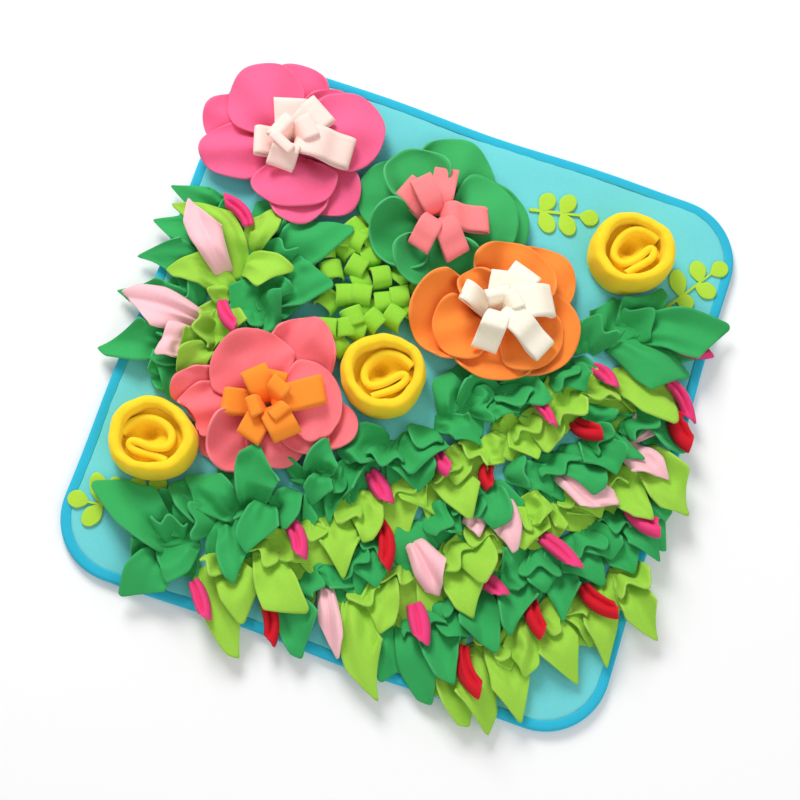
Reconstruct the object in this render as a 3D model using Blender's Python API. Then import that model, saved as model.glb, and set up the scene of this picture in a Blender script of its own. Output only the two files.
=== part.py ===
"""Snuffle mat: a padded fleece square with leaves, petals, loops and rolled roses sewn on.

The mat lies flat on the plane z = 0. Its origin is the middle of its underside, +X runs
along its back edge and +Y points to that edge. The tables are in millimetres, and every
mesh is written in metres.

The cloth pieces are laid one by one, in the order they are sewn on. A height map called
the pile remembers what lies where, so that each new piece is lifted until it clears the
pieces under it.
"""

import math
from collections import namedtuple

import bpy
import numpy as np

MM = 0.001

# The padded square and its edge binding.
PAD_WIDTH = 480.0
PAD_LENGTH = 488.0
PAD_CORNER = 56.0
PAD_WAVE = 1.8
PAD_TOP = 8.0
SIDE_POINTS = 5
CORNER_POINTS = 5
BINDING_REACH = 9.3
BINDING_TOP = 8.4
BINDING_WALL = 1.3
BINDING_ROUND = 1.8
BINDING_ROUND_RISE = 0.27
BINDING_PLAY = 0.2
REBATE_REACH = 9.6
REBATE_FLOOR = 1.6
REBATE_ROOF = 6.6
RIM_INSET = 1.8

# Cloth and the room between two pieces.
CLOTH = 2.3
GAP = 0.4
SEWN_GAP = 0.3

# How much of a table's fold and rise is left once the cloth lies flat.
FOLD_SCALE = 0.6
RISE_SCALE = 0.6

# Backings that leaves, petals and loops are fused into.
BACKING = "_backing"
BACKING_FLOOR = PAD_TOP + SEWN_GAP
BACKING_TOP = BACKING_FLOOR + 2.7
STRIP_WIDTH = 3.2
STRIP_OVERHANG = 7.0
ROOT_TOP = BACKING_TOP - 0.4
ROOT_HALF_WIDTH = 4.5
NECK_REACH = 5.5
NECK_HALF_WIDTH = 5.0

# Discs in the middle of a flower, one above the other, and the hub of its loops.
OUTER_DISC_RADIUS = 12.0
INNER_DISC_RADIUS = 11.0
INNER_DISC_LIFT = 3.1
HUB_RADIUS = 9.0
HUB_FLOOR = BACKING_TOP + INNER_DISC_LIFT + SEWN_GAP
HUB_TOP = HUB_FLOOR + 5.0

# The room that a leaf's root takes up on its strip, and where else it may go.
ROOT_PITCH = 9.6
ROOT_SLIDES = (0, 2, -2, 4, -4, 6, -6, 8, -8, 10, -10, 12, -12, 15, -15, 18, -18)

# Rolled roses.
ROSE_RADIUS = 36.5
ROSE_BAND = 11.4
ROSE_HEIGHT = 38.0
ROSE_SIDES = 18
ROSE_SECTION = 8
ROSE_KEEP_OUT = 38.5
ROSE_SLUMP = 0.03
CURL_SHIFT = 3.5
CURL_BAND = 3.0
CURL_HEIGHT = 31.0
CURL_SHOULDER = 0.8
CURL_CREST = 0.45
# Direction and distance of the curl's bends from its middle.
CURL_PATH = ((-150, 6.5), (-95, 6.5), (-40, 6.5), (15, 6.5), (70, 6.5), (120, 5.0))

# Arched loops.
ARCH_HALF_SPAN = 8.0
ARCH_HEIGHT = 18.0
ARCH_WIDTH = 14.5
# Distance from the middle and height of an arch's bends, as shares of span and height.
ARCH_PATH = ((-0.9, -0.08), (-1.0, 0.55), (-0.5, 1.0), (0.5, 1.0), (1.0, 0.55), (0.9, -0.08))
# How much the arches differ from that height, in turn.
ARCH_UNEVEN = (0.0, 1.1, -0.9, 0.5, -1.6, 1.7, -0.4)

# Loops in the middle of a flower.
LOOP_CLOTH = 1.9
LOOP_DEPTH = 10.5
LOOP_NECK = 3.0
LOOP_DIP = 1.5
LOOP_SHOULDER = 0.55
LOOP_BEND = 3.5
LOOP_END = 0.5
LOOP_PLAY = 1.0
LOOP_REST = 0.6
LOOP_SLOPES = np.linspace(-0.7, 0.7, 29)
MITRE_LIMIT = 0.5

# The height map.
PILE_REACH = 300.0
PILE_CELL = 1.5

# How a sheet is lifted: the misfit that stays, the share of a lift that neighbouring
# points take over, the steps in which it settles, and where the lifting starts.
MISFIT = 0.02
LIFT_SHARE = 0.25
SETTLING_STEPS = (4.0, 2.0, 1.0, 0.5)
SMALLEST_DROP = 0.05
MOST_LIFTS = 400
FIXED_SHARE = 0.3
NECK_SHARE = 0.98
SETTLED_MISFIT = 1.5 * MISFIT

# A sheet is a grid: its root, its narrow neck, and three stations beyond the neck.
BLADE_STATIONS = (0.3, 0.66, 1.0)
COLUMNS = (-1.0, 0.0, 1.0)
ROWS = 2 + len(BLADE_STATIONS)
PETAL_BLADE = (0.36, 0.74, 1.0)
PETAL_NECK_REACH = 7.0
LEAF_TAPER = 0.9
LEAF_FULLNESS = 0.8
FOLD_FADE = 0.45
MOST_ROOT_ANGLE = 24.0
ROOT_ANGLE_SHARE = 0.46
PETAL_SHOULDER = 0.86
PETAL_END_WIDTH = 0.56
PETAL_END_ROUND = 0.1

COLOURS = {
    "pad": (0.20, 0.62, 0.68),
    "binding": (0.05, 0.46, 0.62),
    "sprig": (0.42, 0.68, 0.06),
    "dark leaf": (0.04, 0.36, 0.10),
    "light leaf": (0.32, 0.62, 0.06),
    "loop green": (0.28, 0.65, 0.05),
    "magenta": (0.78, 0.06, 0.20),
    "red": (0.62, 0.02, 0.04),
    "pale pink": (0.92, 0.52, 0.54),
    "hot pink": (0.92, 0.13, 0.26),
    "petal green": (0.05, 0.36, 0.12),
    "orange": (0.95, 0.28, 0.05),
    "coral": (0.92, 0.18, 0.20),
    "shell": (0.95, 0.72, 0.65),
    "soft coral": (0.93, 0.26, 0.26),
    "cream": (0.94, 0.87, 0.74),
    "warm orange": (0.94, 0.31, 0.04),
    "yellow": (0.95, 0.70, 0.03),
}

# root: place of the root along its backing strip. tip_x, tip_y: place of the tip.
# bow: how far the middle bulges to the left. fold: height of the ridge along the middle,
# or depth of a valley if negative. rise: height of the arch over the root.
# end: 1 for a pointed end, less for a cut one. late: laid after the flowers.
Leaf = namedtuple("Leaf", "root tip_x tip_y width bow fold rise end late")

# x, y, heading: a point on the strip and its direction in degrees.
Row = namedtuple("Row", "name colour x y heading leaves")

# tip of the petal, its width, how far its sides cup up (or droop, if negative) and how
# high it arches.
Petal = namedtuple("Petal", "tip_x tip_y width cup rise")

# tip of the loop, and its width.
Loop = namedtuple("Loop", "tip_x tip_y width")

# x, y: the middle of the flower.
Flower = namedtuple("Flower", "name colour loop_colour x y outer inner loops")

# centre, heading of its span.
Arch = namedtuple("Arch", "x y heading")

# centre, turn of the inner roll.
Rose = namedtuple("Rose", "x y turn")

# stem foot, stem tip and the middles of the leaflets.
Sprig = namedtuple("Sprig", "foot_x foot_y tip_x tip_y leaflets")


def field_row(name, colour, distance, leaves):
    """A row parallel to the mat's diagonal, at its distance towards the front corner."""
    step = distance / math.sqrt(2.0)
    return Row(name, colour, step, -step, 45.0, [Leaf(*leaf) for leaf in leaves])


def bush_row(name, colour, x, leaves):
    """A row that runs straight towards the back edge."""
    return Row(name, colour, x, 0.0, 90.0, [Leaf(*leaf) for leaf in leaves])


# The leaf field in the front corner, from the outermost row up to the diagonal.
FIELD = [
    field_row("light_leaves_outer", "light leaf", 222.0, [
        # root tip_x tip_y width bow fold rise end late
        (-80, 139, -257, 34, 0, 4, 8, 1.0, 0),
        (-57, 157, -260, 34, 0, 5, 8, 1.0, 0),
        (-34, 180, -243, 34, 2, 4, 8, 1.0, 0),
        (-20, 158, -204, 30, 0, 4, 7, 1.0, 0),
        (-4, 170, -206, 30, 0, 3, 7, 1.0, 0),
        (17, 216, -198, 38, -3, 4, 9, 1.0, 0),
        (50, 214, -163, 32, 0, 4, 8, 1.0, 0),
        (64, 234, -178, 32, 0, 5, 9, 1.0, 0),
        (77, 239, -101, 28, 0, 4, 7, 1.0, 0),
        (90, 269, -141, 28, -5, -6, 10, 1.0, 0),
    ]),
    field_row("red_buds_outer", "red", 205.0, [
        (-58, 136, -230, 26, 0, 7, 7, 0.92, 0),
        (12, 171, -168, 26, 0, 3, 7, 0.7, 0),
        (46, 223, -132, 28, 5, 8, 8, 0.92, 0),
    ]),
    field_row("dark_leaves_outer", "dark leaf", 176.0, [
        (-99, 60, -243, 36, 0, 4, 8, 0.9, 0),
        (-87, 104, -250, 42, -3, 4, 8, 0.95, 0),
        (-75, 117, -231, 34, 0, -4, 9, 1.0, 0),
        (-63, 118, -189, 36, 0, 4, 8, 1.0, 0),
        (-25, 138, -193, 34, 0, -4, 9, 0.9, 0),
        (14, 148, -178, 34, 0, 4, 9, 1.0, 0),
        (51, 187, -155, 28, 0, 4, 8, 1.0, 0),
        (27, 127, -141, 36, 0, 4, 9, 1.0, 0),
        (39, 165, -134, 38, 0, 4, 9, 1.0, 0),
        (64, 206, -110, 36, 0, 3, 9, 0.85, 0),
        (101, 232, -96, 38, 0, 4, 9, 1.0, 0),
        (125, 253, -67, 36, 0, 4, 8, 1.0, 0),
        (113, 250, -79, 30, 0, 4, 8, 1.0, 0),
        (140, 243, -44, 26, 0, 4, 6, 1.0, 0),
        (80, 209, -89, 40, 0, 4, 9, 1.0, 0),
    ]),
    field_row("magenta_buds_outer", "magenta", 158.0, [
        (-75, 80, -207, 32, 0, 8, 8, 0.9, 0),
        (-37, 130, -148, 28, 0, 7, 7, 0.9, 0),
        (40, 180, -108, 28, 5, 8, 8, 0.92, 0),
        (120, 236, -56, 34, 0, 3, 7, 1.0, 0),
    ]),
    field_row("light_leaves_middle", "light leaf", 138.0, [
        (-127, 18, -226, 26, 0, 4, 8, 1.0, 0),
        (-115, 64, -264, 34, -8, 6, 9, 1.0, 0),
        (-89, 46, -212, 32, 0, -6, 9, 1.0, 0),
        (-32, 115, -175, 36, 0, 4, 9, 1.0, 0),
        (-7, 108, -140, 44, 0, -4, 10, 0.82, 0),
        (48, 138, -105, 32, 0, 4, 8, 1.0, 0),
        (33, 152, -63, 30, 0, 4, 8, 1.0, 0),
        (74, 190, -58, 28, 0, 4, 8, 1.0, 0),
        (104, 200, -5, 34, 0, 4, 9, 0.82, 0),
        (119, 231, -49, 36, 0, 4, 9, 1.0, 0),
        (156, 262, -32, 42, -3, 5, 9, 1.0, 0),
    ]),
    field_row("pale_buds", "pale pink", 124.0, [
        (-139, 20, -243, 20, 0, 4, 7, 1.0, 0),
        (-57, 83, -166, 30, 0, -6, 9, 1.0, 0),
        (3, 97, -106, 20, 0, 6, 7, 0.9, 0),
        (27, 128, -110, 32, 0, 5, 9, 1.0, 0),
        (81, 202, -45, 30, -4, 4, 8, 1.0, 0),
        (137, 236, -10, 30, 0, 3, 8, 1.0, 0),
        (149, 223, 46, 28, 0, 3, 8, 0.85, 0),
    ]),
    field_row("dark_leaves_middle", "dark leaf", 108.0, [
        (-170, -8, -250, 34, 0, 4, 9, 1.0, 0),
        (-143, 21, -178, 22, 0, 6, 7, 1.0, 0),
        (-92, 32, -178, 34, 0, -5, 9, 1.0, 0),
        (-25, 84, -109, 26, 0, -6, 8, 1.0, 0),
        (20, 107, -98, 40, 0, 4, 9, 1.0, 0),
        (46, 150, -56, 28, 6, -6, 9, 1.0, 0),
        (103, 176, -42, 46, 0, 4, 10, 1.0, 0),
        (117, 212, 0, 32, 0, 4, 8, 1.0, 0),
        (131, 153, 34, 30, 0, -5, 7, 1.0, 0),
        (158, 200, 16, 26, 0, 4, 7, 1.0, 0),
        (171, 246, 21, 30, 0, 4, 8, 1.0, 0),
    ]),
    field_row("red_buds_middle", "red", 92.0, [
        (-181, -36, -246, 24, 0, 6, 7, 1.0, 0),
        (-74, 32, -157, 26, 0, 8, 8, 1.0, 0),
        (31, 93, -65, 24, 5, 7, 8, 0.85, 0),
        (112, 168, 8, 30, 3, 7, 8, 0.92, 0),
        (199, 244, 26, 32, 0, 6, 8, 1.0, 0),
    ]),
    field_row("light_leaves_upper", "light leaf", 70.0, [
        (-217, -57, -266, 32, -4, 4, 9, 1.0, 0),
        (-205, -65, -236, 38, 0, 3, 10, 0.82, 0),
        (-170, -16, -216, 34, -4, -3, 9, 0.85, 0),
        (-182, -22, -176, 28, 8, 5, 9, 1.0, 0),
        (-128, -26, -163, 30, 0, 4, 8, 1.0, 0),
        (-102, 4, -181, 34, 0, 5, 9, 1.0, 0),
        (-71, 8, -143, 38, 0, 3, 10, 1.0, 0),
        (-43, 52, -101, 28, 0, 4, 8, 1.0, 0),
        (-14, 85, -95, 34, 0, 3, 9, 0.88, 0),
        (20, 65, -70, 28, 0, 3, 8, 0.82, 0),
        (38, 100, -40, 30, 0, 4, 8, 1.0, 0),
        (52, 110, 18, 34, 0, 4, 9, 0.9, 0),
        (104, 128, -15, 40, 0, 4, 9, 0.9, 0),
        (92, 144, 48, 34, 0, 3, 9, 0.88, 0),
        (117, 178, 46, 22, 8, 5, 9, 1.0, 0),
        (165, 222, 42, 46, 0, 3, 11, 0.82, 0),
    ]),
    field_row("magenta_buds_upper", "magenta", 56.0, [
        (-233, -92, -246, 24, 0, 7, 8, 1.0, 0),
        (-145, -36, -173, 26, 0, 6, 8, 0.9, 0),
        (-64, 16, -106, 30, 0, 7, 8, 0.78, 0),
        (-1, 55, -67, 24, 7, 7, 8, 0.9, 0),
        (88, 126, 0, 20, 0, 5, 7, 0.9, 0),
        (151, 166, 52, 26, 0, 6, 7, 0.85, 0),
        (200, 240, 50, 22, 0, 5, 8, 1.0, 0),
        (216, 238, 112, 20, -4, 5, 7, 0.9, 0),
    ]),
    field_row("dark_leaves_upper", "dark leaf", 42.0, [
        (-250, -162, -246, 38, 0, 3, 9, 0.86, 0),
        (-222, -132, -222, 42, 0, 3, 9, 0.82, 0),
        (-238, -216, -172, 42, 0, 3, 10, 0.92, 0),
        (-212, -152, -165, 40, 0, 3, 9, 1.0, 0),
        (-200, -158, -146, 36, 0, 4, 9, 1.0, 0),
        (-189, -79, -212, 30, 0, -4, 9, 1.0, 0),
        (-178, -152, -140, 36, 0, 5, 9, 1.0, 0),
        (-167, -101, -97, 40, 0, 4, 14, 1.0, 1),
        (-154, -79, -186, 34, 0, -5, 9, 1.0, 1),
        (-128, -58, -153, 28, 0, -4, 9, 0.9, 0),
        (-114, -48, -78, 26, 0, 5, 12, 0.9, 1),
        (-101, -42, -130, 24, 0, -6, 10, 1.0, 1),
        (-62, -22, -142, 26, -10, -8, 12, 1.0, 0),
        (-38, -39, -79, 36, 0, 4, 9, 1.0, 0),
        (-26, 38, -89, 44, 0, 4, 8, 1.0, 0),
        (-12, 26, -70, 44, 0, 3, 11, 0.82, 0),
        (4, 78, -34, 26, 5, -6, 12, 1.0, 0),
        (17, 30, 22, 34, 0, 4, 9, 1.0, 0),
        (78, 120, 22, 28, 0, 5, 8, 1.0, 0),
        (51, 98, 4, 26, 0, 6, 8, 1.0, 0),
        (31, 84, 20, 24, 12, -7, 11, 1.0, 0),
        (151, 124, 98, 40, 0, 3, 7, 1.0, 0),
        (139, 150, 40, 30, -8, -5, 9, 1.0, 0),
        (163, 147, 132, 36, 0, -5, 8, 1.0, 0),
        (175, 224, 86, 44, 0, 4, 11, 0.86, 0),
        (187, 182, 153, 36, 0, -7, 11, 1.0, 0),
        (199, 246, 138, 42, 0, 4, 11, 0.86, 0),
    ]),
]

# The bush at the left edge.
BUSH = [
    bush_row("bush_dark_left", "dark leaf", -192.0, [
        # root tip_x tip_y width bow fold rise end late
        (92, -256, 98, 28, 3, 3, 7, 1.0, 0),
        (64, -258, 62, 30, 0, 3, 7, 1.0, 0),
        (34, -260, 26, 30, -5, 4, 8, 1.0, 0),
        (2, -264, -8, 24, 0, 4, 7, 1.0, 0),
        (-36, -260, -61, 34, 0, 4, 8, 1.0, 0),
        (-49, -212, -68, 26, 0, 3, 7, 1.0, 0),
        (-24, -186, -86, 36, 0, 4, 11, 1.0, 0),
    ]),
    bush_row("bush_pale", "pale pink", -180.0, [
        (36, -232, 87, 36, 0, 3, 9, 1.0, 0),
        (-12, -258, -9, 38, 0, -4, 9, 1.0, 0),
        (-24, -204, -50, 32, 0, 3, 9, 0.8, 0),
    ]),
    bush_row("bush_dark_right", "dark leaf", -148.0, [
        (64, -176, 105, 46, 0, 4, 9, 1.0, 0),
        (77, -128, 94, 26, 0, -6, 8, 1.0, 0),
        (52, -92, 108, 44, 0, 3, 10, 0.88, 0),
        (40, -128, 20, 28, 0, 4, 8, 1.0, 0),
        (13, -134, -15, 32, 0, -4, 9, 1.0, 0),
        (28, -93, 54, 42, 0, 4, 10, 0.92, 0),
    ]),
    bush_row("bush_light", "light leaf", -168.0, [
        (62, -158, 107, 30, 0, 3, 9, 1.0, 0),
        (36, -249, 80, 42, -14, 5, 13, 1.0, 0),
        (23, -232, 21, 32, -8, 5, 11, 1.0, 0),
        (49, -130, 55, 36, 0, 3, 11, 0.82, 0),
        (10, -160, -24, 36, 0, 5, 10, 1.0, 0),
        (-12, -192, -44, 26, 0, -6, 9, 1.0, 0),
        (-28, -187, -63, 24, 0, -5, 9, 1.0, 0),
    ]),
    bush_row("bush_magenta", "magenta", -174.0, [
        (82, -203, 99, 24, 0, 8, 9, 0.9, 0),
        (11, -153, -12, 22, 0, 8, 9, 0.9, 0),
    ]),
]

FLOWERS = [
    Flower(
        "coral_flower", "coral", "warm orange", -104, -63,
        # tip_x tip_y width cup rise
        [Petal(-89, 22, 60, 0, 7), Petal(-27, -58, 52, -2, 6), Petal(-187, -76, 50, 0, 6),
         Petal(-150, -115, 46, 0, 6)],
        [Petal(-177, -94, 48, -3, 6), Petal(-150, -15, 76, -4, 8),
         Petal(-128, -125, 50, 6, 8), Petal(-75, -109, 52, -3, 7),
         Petal(-46, -82, 36, -2, 6), Petal(-49, -35, 74, -4, 8)],
        [Loop(-142, -70, 22), Loop(-107, -34, 22), Loop(-126, -40, 22), Loop(-62, -39, 24),
         Loop(-113, -97, 22), Loop(-80, -88, 24)],
    ),
    Flower(
        "green_flower", "petal green", "soft coral", -24, 142,
        [Petal(-98, 160, 70, -2, 6), Petal(-22, 225, 72, -2, 6), Petal(55, 168, 80, -2, 6),
         Petal(20, 104, 58, 5, 7)],
        [Petal(43, 170, 80, -3, 8), Petal(-73, 193, 56, 5, 8), Petal(-70, 111, 54, 7, 9),
         Petal(-8, 84, 62, 7, 9)],
        [Loop(-62, 156, 24), Loop(-32, 187, 22), Loop(18, 159, 24), Loop(8, 116, 22),
         Loop(-34, 107, 20)],
    ),
    Flower(
        "orange_flower", "orange", "cream", 53, 79,
        [Petal(-18, 51, 72, 4, 6), Petal(95, 150, 70, -2, 6), Petal(127, 74, 78, -2, 6),
         Petal(70, 22, 72, -2, 7)],
        [Petal(9, 40, 56, -2, 8), Petal(60, 146, 74, 3, 8), Petal(14, 102, 36, 2, 7),
         Petal(112, 59, 62, -3, 8)],
        [Loop(17, 82, 18), Loop(45, 113, 24), Loop(66, 120, 26), Loop(95, 102, 28),
         Loop(103, 57, 22), Loop(54, 41, 22)],
    ),
    Flower(
        "pink_flower", "hot pink", "shell", -165, 165,
        [Petal(-250, 174, 62, -2, 6), Petal(-193, 240, 70, -2, 6),
         Petal(-131, 226, 54, -2, 6), Petal(-96, 127, 54, -2, 6), Petal(-132, 97, 52, -2, 6)],
        [Petal(-240, 132, 54, -2, 7), Petal(-227, 220, 70, -4, 8), Petal(-140, 110, 76, -4, 8),
         Petal(-97, 214, 74, -4, 8)],
        [Loop(-197, 155, 26), Loop(-177, 203, 30), Loop(-145, 200, 28), Loop(-111, 169, 28),
         Loop(-166, 136, 24)],
    ),
]

# x y heading of each arched loop, and the corners of the cloth that they are sewn to.
ARCHES = [
    Arch(-98, 102, 10), Arch(-80, 101, 80), Arch(-107, 84, 25), Arch(-75, 80, 80),
    Arch(-55, 76, -60), Arch(-37, 87, -20), Arch(-94, 67, 30), Arch(-28, 68, -60),
    Arch(-80, 51, -70), Arch(-62, 57, -80), Arch(-43, 57, -65), Arch(-27, 47, 75),
    Arch(-64, 37, 40), Arch(-44, 38, 65), Arch(-77, 19, -75), Arch(-64, 20, 25),
]
ARCH_BACKING = [
    (-118, 84), (-108, 110), (-74, 110), (-30, 99), (-17, 74), (-17, 42), (-36, 34),
    (-52, 20), (-54, 6), (-88, 8), (-94, 40), (-108, 62),
]

ROSES = [Rose(146, 171, -30), Rose(-22, -6, -40), Rose(-185, -122, -20)]

SPRIGS = [
    Sprig(50, 186, 106, 199, [(63, 197), (71, 175), (82, 203), (91, 180), (106, 198)]),
    Sprig(187, 133, 222, 186,
          [(185, 161), (192, 146), (204, 187), (219, 165), (208, 148), (223, 190)]),
    Sprig(-178, -182, -224, -188, [(-217, -170), (-212, -198), (-201, -168), (-227, -188)]),
    Sprig(-155, -160, -186, -168, [(-184, -162), (-169, -155)]),
    Sprig(-80, 114, -87, 124, [(-85, 121)]),
]
SPRIG_FLOOR = PAD_TOP + SEWN_GAP
SPRIG_CLOTH = 1.5
LEAFLET_SIDES = 8
LEAFLET_HALF = 5.6
LEAFLET_BACK = 0.55
LEAFLET_TIP_BACK = 9.0
LEAFLET_LIFT = 0.1
STEM_HALF = 2.2


def direction(heading):
    """Unit vector of a heading in degrees."""
    angle = math.radians(heading)
    return np.array([math.cos(angle), math.sin(angle)])


def clear_scene():
    """Empty the scene."""
    for obj in list(bpy.data.objects):
        bpy.data.objects.remove(obj, do_unlink=True)


def fleece(colour):
    """The matt material of one colour of cloth, made once."""
    material = bpy.data.materials.get(colour)
    if material is None:
        material = bpy.data.materials.new(colour)
        material.use_nodes = True
        shader = material.node_tree.nodes["Principled BSDF"]
        shader.inputs["Base Color"].default_value = (*COLOURS[colour], 1.0)
        shader.inputs["Roughness"].default_value = 0.95
        shader.inputs["Metallic"].default_value = 0.0
    return material


def add_object(name, colour, verts, faces):
    """An object from vertices in millimetres."""
    mesh = bpy.data.meshes.new(name)
    mesh.from_pydata([tuple(float(c) * MM for c in v) for v in verts], [], faces)
    mesh.materials.append(fleece(colour))
    mesh.update()
    obj = bpy.data.objects.new(name, mesh)
    bpy.context.scene.collection.objects.link(obj)
    return obj


def prism(outline, floor, top, start=0):
    """Vertices and faces of an upright prism over a counterclockwise outline."""
    count = len(outline)
    verts = [(x, y, floor) for x, y in outline] + [(x, y, top) for x, y in outline]
    faces = [tuple(start + i for i in reversed(range(count)))]
    faces.append(tuple(start + count + i for i in range(count)))
    for i in range(count):
        j = (i + 1) % count
        faces.append((start + i, start + j, start + count + j, start + count + i))
    return verts, faces


def ring_of_sections(sections):
    """Faces that join closed sections of equal size into a ring."""
    count, size = len(sections), len(sections[0])
    faces = []
    for i in range(count):
        for k in range(size):
            a, b = i * size + k, i * size + (k + 1) % size
            c, d = (i + 1) % count * size + (k + 1) % size, (i + 1) % count * size + k
            faces.append((a, d, c, b))
    return faces


def is_pointed(grid):
    """Whether the last row of a sheet's grid is one point."""
    return np.allclose(grid[-1, 0, :2], grid[-1, -1, :2])


class Body:
    """One closed mesh while it is put together from its faces."""

    def __init__(self):
        self.verts = []
        self.faces = []

    def add(self, x, y, z):
        """Add a vertex and return its number."""
        self.verts.append((float(x), float(y), float(z)))
        return len(self.verts) - 1

    def face(self, *corners):
        """Add a face, leaving out corners that repeat."""
        unique = [c for k, c in enumerate(corners) if c != corners[k - 1]]
        if len(set(unique)) > 2:
            self.faces.append(tuple(unique))

    def sheet(self, grid, upper, lower):
        """Grow a sheet of cloth out of the root corners upper and lower. The grid holds
        its upper side, and a last row with no width makes a pointed end."""
        for i in range(1, len(grid)):
            if i == len(grid) - 1 and is_pointed(grid):
                x, y, z = grid[i, 0]
                next_upper = [self.add(x, y, z)] * 3
                next_lower = [self.add(x, y, z - CLOTH)] * 3
            else:
                next_upper = [self.add(*spot) for spot in grid[i]]
                next_lower = [self.add(x, y, z - CLOTH) for x, y, z in grid[i]]
            for j in range(2):
                self.face(upper[j], next_upper[j], next_upper[j + 1])
                self.face(upper[j], next_upper[j + 1], upper[j + 1])
                self.face(lower[j], next_lower[j + 1], next_lower[j])
                self.face(lower[j], lower[j + 1], next_lower[j + 1])
            self.face(lower[0], next_lower[0], next_upper[0], upper[0])
            self.face(upper[2], next_upper[2], next_lower[2], lower[2])
            upper, lower = next_upper, next_lower
        if not is_pointed(grid):
            for j in range(2):
                self.face(upper[j], lower[j], lower[j + 1], upper[j + 1])

    def tube(self, root, rings):
        """Grow a tube of four-cornered rings out of four root corners, and close it."""
        for ring in rings:
            after = [self.add(*spot) for spot in ring]
            for m in range(4):
                n = (m + 1) % 4
                self.face(root[m], root[n], after[n], after[m])
            root = after
        self.face(*root)


def fuse(base, pieces):
    """Unite a backing with the closed pieces that root in it."""
    helper = add_object(base.name + "_cut", base.data.materials[0].name, *join(pieces))
    helper.hide_render = True
    helper.display_type = "WIRE"
    union = base.modifiers.new("sewn_roots", "BOOLEAN")
    union.operation = "UNION"
    union.object = helper
    union.use_self = True


def join(pieces):
    """Put closed pieces in one list of vertices and faces."""
    verts, faces = [], []
    for piece_verts, piece_faces in pieces:
        start = len(verts)
        verts.extend(piece_verts)
        faces.extend(tuple(start + i for i in face) for face in piece_faces)
    return verts, faces


# ---------------------------------------------------------------------------------------
# The pile
# ---------------------------------------------------------------------------------------


class Pile:
    """How high each piece of the mat reaches, on square grids of cells."""

    def __init__(self):
        size = int(2 * PILE_REACH / PILE_CELL) + 1
        self.flat = np.zeros((size, size))
        self.tops = {}

    @staticmethod
    def cells_of(xy):
        """Rows and columns of the cells that hold some places."""
        index = np.rint((np.asarray(xy) + PILE_REACH) / PILE_CELL).astype(int)
        return np.clip(index, 1, int(2 * PILE_REACH / PILE_CELL) - 1)

    def cover(self, owner, xyz):
        """Raise the cells under the points of a piece."""
        points = np.asarray(xyz).reshape(-1, 3)
        i, j = self.cells_of(points[:, :2]).T
        if owner not in self.tops:
            self.tops[owner] = self.flat.copy()
        np.maximum.at(self.tops[owner], (i, j), points[:, 2])

    def ground(self, *left_out):
        """Height of the pieces of all other owners, widened by one cell."""
        grid = self.flat
        for owner, top in self.tops.items():
            if owner not in left_out:
                grid = np.maximum(grid, top)
        wide = grid.copy()
        size = len(grid)
        for di in (-1, 0, 1):
            for dj in (-1, 0, 1):
                part = grid[1 + di:size - 1 + di, 1 + dj:size - 1 + dj]
                wide[1:-1, 1:-1] = np.maximum(wide[1:-1, 1:-1], part)
        return wide

    @staticmethod
    def heights(grid, xy):
        """Heights of a grid at some places."""
        index = Pile.cells_of(xy)
        return grid[index[..., 0], index[..., 1]]


def cell_samples(rows, columns, steps):
    """Weights of sample points on a grid of points whose cells are cut in two triangles."""
    cells = []
    for i in range(rows - 1):
        for j in range(columns - 1):
            for a in np.linspace(0.0, 1.0, steps):
                for b in np.linspace(0.0, 1.0, steps):
                    weight = np.zeros((rows, columns))
                    weight[i, j] = 1.0 - max(a, b)
                    weight[i + 1, j + 1] = min(a, b)
                    weight[i + 1, j] = max(a - b, 0.0)
                    weight[i, j + 1] = max(b - a, 0.0)
                    cells.append(weight.ravel())
    return np.array(cells)


def neighbour_mix(rows, columns, share):
    """Matrix that hands on a share of each grid point's lift to its neighbours."""
    mix = np.eye(rows * columns)
    for i in range(rows):
        for j in range(columns):
            for other_i, other_j in ((i - 1, j), (i + 1, j), (i, j - 1), (i, j + 1)):
                if 0 <= other_i < rows and 0 <= other_j < columns:
                    mix[other_i * columns + other_j, i * columns + j] = share
    return mix


def away_from_roses(xy):
    """Move the points of a sheet out of the rolled roses, around which it bends."""
    moved = np.array(xy, dtype=float)
    for rose in ROSES:
        offset = moved - (rose.x, rose.y)
        distance = np.linalg.norm(offset, axis=-1)
        inside = distance < ROSE_KEEP_OUT
        scale = np.where(inside, ROSE_KEEP_OUT / np.maximum(distance, 1.0), 1.0)
        moved = (rose.x, rose.y) + offset * scale[..., None]
    return moved


def lay(pile, xyz, owner):
    """Lift a sheet until it clears the pile, let it settle, and add it to the pile.
    Between its root and its neck it has to clear the pieces of other owners only."""
    flat = xyz.reshape(-1, 3).copy()
    spots = SAMPLES @ flat
    strip = owner + BACKING
    ground = np.where(
        FREE_SHARE < NECK_SHARE,
        Pile.heights(pile.ground(owner, strip), spots[:, :2]),
        Pile.heights(pile.ground(strip), spots[:, :2]),
    )
    need = ground + GAP + CLOTH - spots[:, 2]
    need[FREE_SHARE < FIXED_SHARE] = -1.0
    lift = np.zeros(len(flat))
    for _ in range(MOST_LIFTS):
        miss = need - SAMPLES @ lift
        worst = int(np.argmax(miss))
        if miss[worst] < MISFIT:
            break
        spread = SMOOTHING @ SAMPLES[worst] * FREE
        lift += miss[worst] / (SAMPLES[worst] @ spread) * spread
    for step in SETTLING_STEPS:
        for node in np.argsort(-lift):
            drop = min(step, lift[node])
            trial = lift.copy()
            trial[node] -= drop
            fits = (need - SAMPLES @ trial).max() < SETTLED_MISFIT
            if drop > SMALLEST_DROP and fits:
                lift = trial
    if is_pointed(xyz):
        lift[-len(COLUMNS):] = lift[-len(COLUMNS):].max()
    flat[:, 2] += lift
    pile.cover(owner, FINE_SAMPLES @ flat)
    return flat.reshape(xyz.shape)


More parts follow.
